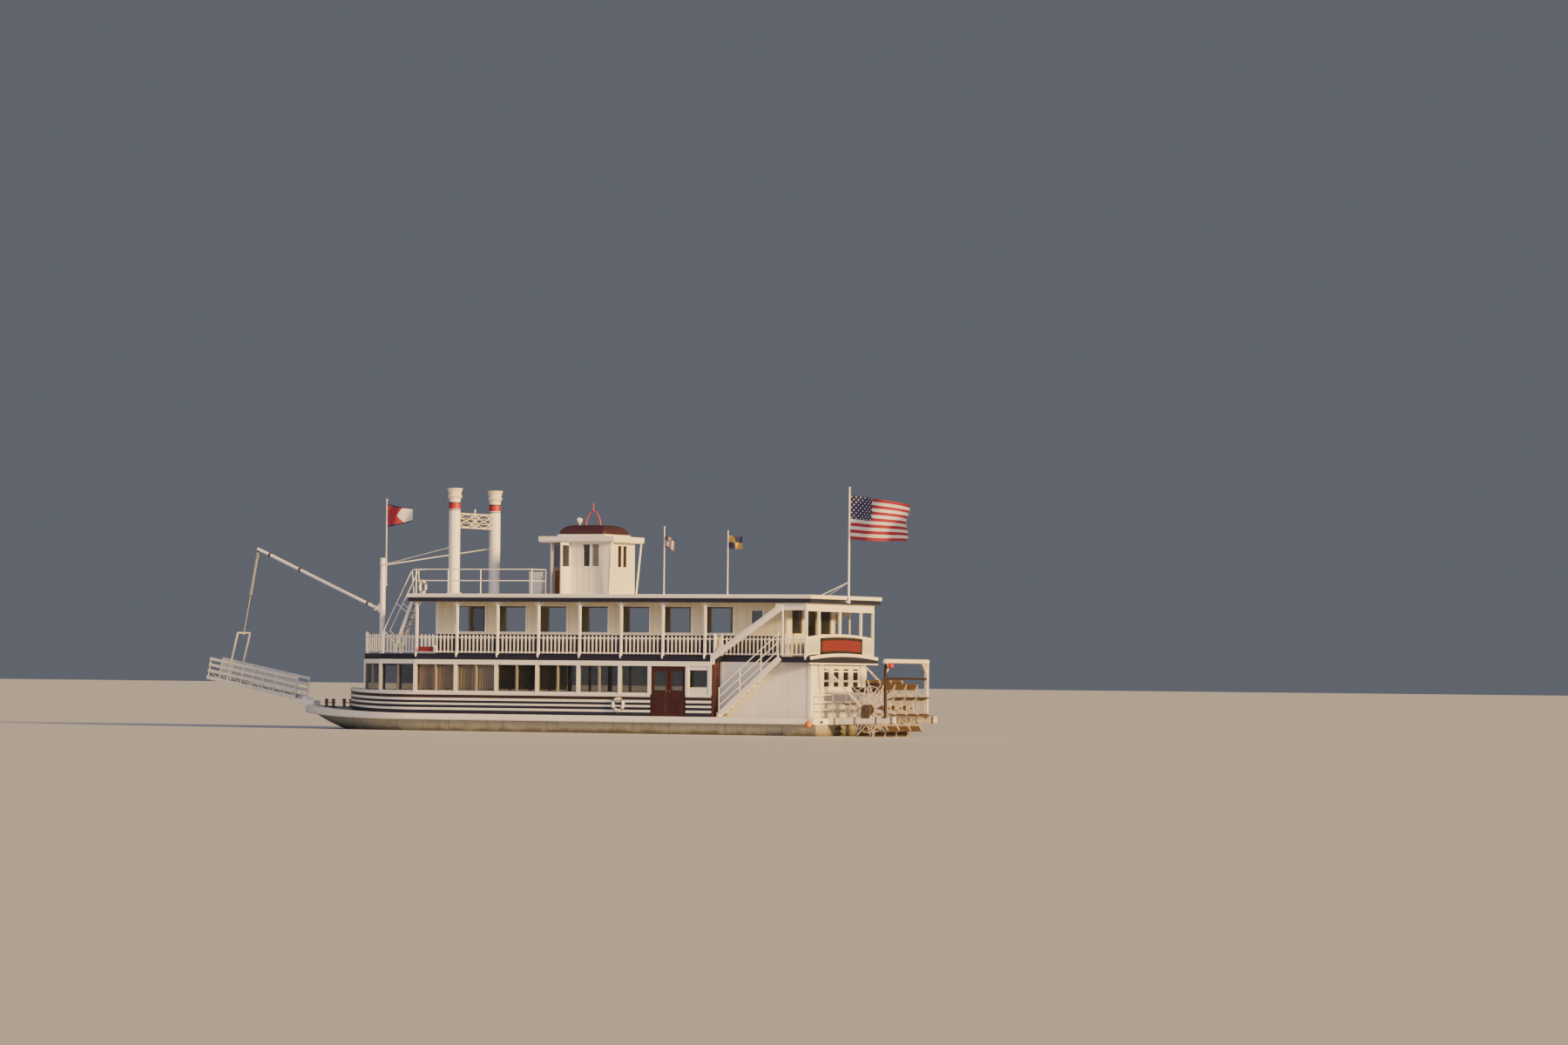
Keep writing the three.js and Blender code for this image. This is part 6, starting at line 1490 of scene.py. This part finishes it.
def cloth_shell(grid, thick=0.0024):
    """A closed thin shell about a grid of points: half the thickness either way along the grid's normals."""
    normal = np.cross(np.gradient(grid, axis=0), np.gradient(grid, axis=1))
    normal *= thick / 2 / np.linalg.norm(normal, axis=2)[:, :, None]
    front = grid_faces(*grid.shape[:2])
    index = np.arange(grid.size // 3).reshape(grid.shape[:2])
    back = [[v + index.size for v in face[::-1]] for face in front]
    loop = np.concatenate([index[:-1, 0], index[-1, :-1], index[:0:-1, -1], index[0, :0:-1]])
    after = np.roll(loop, -1)
    rim = np.stack([after, loop, loop + index.size, after + index.size], 1).tolist()
    return np.concatenate([grid + normal, grid - normal]).reshape(-1, 3), front + back + rim, 0


def flown(corner, length, hoist, swing, waves, droop, lean=0.0, fly=1.0, sag=0.0):
    """Cloth from a hoist edge: steps along it head aft, swung by a sine that grows outwards and lags down
    the hoist, and fall by the droop, the head edge by the sag more; long folds take up what the sag frees."""
    u, v = np.linspace(0, 1, 90)[:, None], np.linspace(0, 1, 40)
    heading = swing * np.minimum(1, 4 * u) * np.sin(2 * np.pi * (waves * u - 0.35 * v) + lean)
    fall = (droop + sag * v) * u ** 0.7 + 0.06 * np.sin(2 * np.pi * (0.8 * u + 0.2))
    moves = places(-np.cos(heading) * np.cos(fall), np.sin(heading) * np.cos(fall), -np.sin(fall))
    moves *= length / (len(u) - 1)
    moves[0] = 0
    height = hoist * (0.5 + (v - 0.5) * (1 - (1 - fly) * u))
    made = corner + places(0, 0, height) + np.cumsum(moves, 0)
    made[..., 1] += sag * 0.55 * u * np.sin(2 * np.pi * (1.4 * v - 0.5 * u)) * hoist / 1.72
    return made


def cloth_piece(name, grid, material, node):
    """A cloth object from a grid, with its cloth coordinates in a UV layer."""
    made = piece(name, [cloth_shell(grid)], [material], "root", (node,), 60)
    rows, columns = grid.shape[:2]
    cloth = places(np.linspace(0, 1, rows)[:, None], np.linspace(0, 1, columns)).reshape(-1, 2)
    corners = np.empty(len(made.data.loops), dtype=np.int32)
    made.data.loops.foreach_get("vertex_index", corners)
    layer = made.data.uv_layers.new(name="cloth")
    layer.data.foreach_set("uv", np.tile(cloth, (2, 1))[corners].ravel())


def cloth_paint(name, flat, colour_of, weave=0.0035):
    """Woven cloth: a pattern of cloth coordinates, thread shading both ways, hems, and soft dirt."""
    made, shader = new_material(name)
    place = place_in(made.node_tree, "UV")
    axes = add(made.node_tree, "ShaderNodeSeparateXYZ", {0: place}).outputs
    u, v = axes["X"], axes["Y"]
    sized = ((u, flat[0]), (v, flat[1]))
    cloth = times(*[maths("SINE", times(way, 2 * math.pi * size / weave)) for way, size in sized])
    hem = maths("MAXIMUM", *[above(off_middle(way), 0.5 - 0.03 / size) for way, size in sized])
    shade = plus(plus(times(hem, 0.16), times(noise(place, 3.0, 5), 0.18)), times(cloth, 0.05))
    feed(shader, {"Base Color": mix(shade, colour_of(u, v), (0.10, 0.085, 0.07, 1)),
                  "Normal": bumped(cloth, 0.25, 0.001), "Roughness": 0.8, "Sheen Weight": 0.2})
    return made


def striped(u, v):
    """Thirteen stripes, red first and last, and a blue corner by the hoist with rows of white spots."""
    field = mix(maths("MODULO", whole(times(v, STRIPES)), 2), FLAG_RED, FLAG_WHITE)
    corner = times(below(u, CORNER_WIDE), above(v, CORNER_FOOT))
    cells = [times(u, 11 / CORNER_WIDE), times(minus(v, CORNER_FOOT), 9 * STRIPES / 7)]
    parity = maths("MODULO", plus(*[whole(cell) for cell in cells]), 2)
    offsets = [minus(part_of_one(cell), 0.5) for cell in cells]
    away = maths("SQRT", plus(*[times(offset, offset) for offset in offsets]))
    spot = times(below(away, 0.27), below(parity, 0.5))
    return mix(corner, field, mix(spot, FLAG_BLUE, FLAG_WHITE))


def bordered(u, v):
    """A red field with navy borders top and bottom and a plain white patch towards the fly."""
    patch = above(minus(u, times(off_middle(v), 0.5)), 0.42)
    return mix(above(off_middle(v), 0.42), mix(patch, FLAG_RED, FLAG_WHITE), FLAG_BLUE)


def quartered(u, v):
    """Yellow with a navy quarter at the hoist's foot and another at the fly's head."""
    return mix(maths("COMPARE", above(u, 0.5), above(v, 0.5)), FLAG_YELLOW, FLAG_BLUE)


for where, weave, pattern, corner, flat, flight, staff, area in (
        ("stern", "striped_cloth", striped, (STAFF_X - 0.045, 0, 7.62), (2.62, 1.72),
         (0.48, 1.35, 0.07, 0.4, 1.0, 0.20), "roof_deck", None),
        ("bow", "bordered_cloth", bordered, (9.535, 0, 8.16), (1.22, 0.94),
         (0.42, 1.2, -0.02, 1.0, 0.55), "mast_steel", 1.22 * 0.94 * 0.775),
        ("roof_fore", "small_striped_cloth", striped, (-4.705, POLE_Y, 7.30), (0.62, 0.44),
         (1.15, 2.3, 0.85, 0.2), "roof_deck", None),
        ("roof_aft", "quartered_cloth", quartered, (-7.465, POLE_Y, 7.20), (0.64, 0.50),
         (0.55, 1.3, 0.12, 0.8), "roof_deck", None)):
    cloth_piece(f"flag_cloth_{where}", flown(corner, *flat, *flight), cloth_paint(weave, flat, pattern),
                f"flag_{where}")


# Curtains: beige cloth gathered on a rail behind the foremost saloon lights, in soft even pleats.
# The pleats are deepest in the middle of each fold and are crushed a little towards the foot.
CURTAIN_X, CURTAIN_Y, CURTAIN_Z = (2.81, 6.27), 2.935, (1.66, 2.82)


def pleated(side):
    """Pleats: the side offset is a sine of the place along, with a slower sine in its phase and depth."""
    x, z = np.linspace(*CURTAIN_X, 700)[:, None], np.linspace(*CURTAIN_Z, 16)
    phase = 2 * np.pi * x / 0.118 + 1.3 * np.sin(2.1 * x) + 0.25 * np.sin(3 * z)
    depth = 0.019 + 0.005 * np.sin(5.3 * x + 1.2 * z)
    return places(x, side * (CURTAIN_Y + depth * np.sin(phase)), z)


def plain_cloth(u, v):
    """Beige with a rosy cast towards the bow end."""
    return ramp(u, [(0.0, (0.60, 0.54, 0.42)), (1.0, (0.64, 0.47, 0.40))])


for side, word in SIDES:
    folds, rail_y = pleated(side), side * CURTAIN_Y
    flat = (float(np.linalg.norm(np.diff(folds[:, 8], axis=0), axis=1).sum()), CURTAIN_Z[1] - CURTAIN_Z[0])
    weave = cloth_paint(f"curtain_weave_{word}", flat, plain_cloth, 0.004)
    cloth_piece(f"curtain_cloth_{word}", folds, weave, f"curtain_{word}")
    piece(f"curtain_rail_{word}", [rods((2.75, rail_y, 2.812), (6.3, rail_y, 2.812), 0.012, 12)],
          [WHITE_METAL])


# Loose gear: a foam life ring with rope beckets on the port boards, another on the roof, and an orange
# ball fender. Sidelight boards stand outside the balustrades with their lamps, red to port and green to
# starboard.
RING_R, FENDER_X, FENDER_R = 0.225, -11.05, 0.135
FOAM = painted("ring_foam", (0.78, 0.77, 0.75), (0.35, 0.3, 0.25), 0.3, 5.0, 0.55)
BAND_CLOTH = painted("ring_band", (0.10, 0.11, 0.16), (0.3, 0.3, 0.3), 0.3, 6.0, 0.8, bump=0.5)
ORANGE = painted("fender_orange", (0.62, 0.16, 0.02), (0.12, 0.07, 0.03), 0.55, 4.0, 0.4)


def life_ring(middle, across):
    """A ring, four bands of cloth round it, and a rope looped between the bands outside it."""
    facing = np.cross(across, (0, 0, 1))

    def loop(turn, radius, *rest):
        """A tube through points at a radius and a turn about the ring's middle."""
        path = middle + np.outer(radius * np.cos(turn), across) + np.outer(radius * np.sin(turn), (0, 0, 1))
        return tube(path, *rest, facing)

    turn = np.arange(96) * 2 * np.pi / 96
    slack = 0.288 + 0.022 * abs(np.sin(2 * (turn - np.pi / 4)))
    bands = [loop(quarter + np.linspace(-0.17, 0.17, 9), RING_R, 0.0565, 24, False, 1)
             for quarter in np.pi * (np.arange(4) / 2 + 0.25)]
    return [loop(turn, RING_R, 0.054, 24, True, 0), *bands, loop(turn, slack, 0.007, 8, True, 2)]


piece("life_ring_foam", life_ring((-2.722, 3.1445, 1.13), (1, 0, 0)) + [
    box(-2.76, -2.68, 3.09, 3.11, 1.32, 1.42, 0.006, 3),
], [FOAM, BAND_CLOTH, ROPE, STEEL], stands_for=("life_ring",))
piece("roof_life_ring", life_ring((6.47, 2.42, 5.70), (0, 1, 0)), [FOAM, BAND_CLOTH, ROPE])
ball = [(FENDER_R * math.cos(turn), FENDER_R * math.sin(turn))
        for turn in np.linspace(-np.pi / 2, np.pi / 2, 33)[1:-1]]
piece("ball_fender_rubber", [
    turned(ball + [(0.03, 0.137), (0.028, 0.165), (0.012, 0.17)], (FENDER_X, 3.3353, 0.46), 40),
    tube([(FENDER_X, 3.335, 0.62), (FENDER_X, 3.28, 0.70), (FENDER_X, 3.15, 0.712)], 0.009, 8, number=1,
         top=(1, 0, 0)),
], [ORANGE, ROPE], stands_for=("ball_fender",))
for side, word, colour in ((1, "port", (0.20, 0.012, 0.02)), (-1, "starboard", (0.01, 0.10, 0.05))):
    boards = painted(f"sidelight_{word}_paint", colour, (0.1, 0.05, 0.05), 0.3, 2.0, 0.5)
    piece(f"sidelight_{word}", [box(x0, x1, side * y0, side * y1, z0, z1, edge, number)
                                for x0, x1, y0, y1, z0, z1, edge, number in (
        (5.61, 6.28, 3.052, 3.072, 3.13, 3.33, 0.006, 0), (5.40, 6.28, 3.035, 3.095, 3.10, 3.13, 0.006, 1),
        (5.41, 5.57, 3.05, 3.13, 3.13, 3.33, 0.02, 1), (5.43, 5.55, 3.06, 3.12, 3.33, 3.37, 0.02, 1),
        (5.43, 5.55, 3.12, 3.14, 3.17, 3.29, 0.02, 2))], [boards, WHITE_METAL, GLASS])
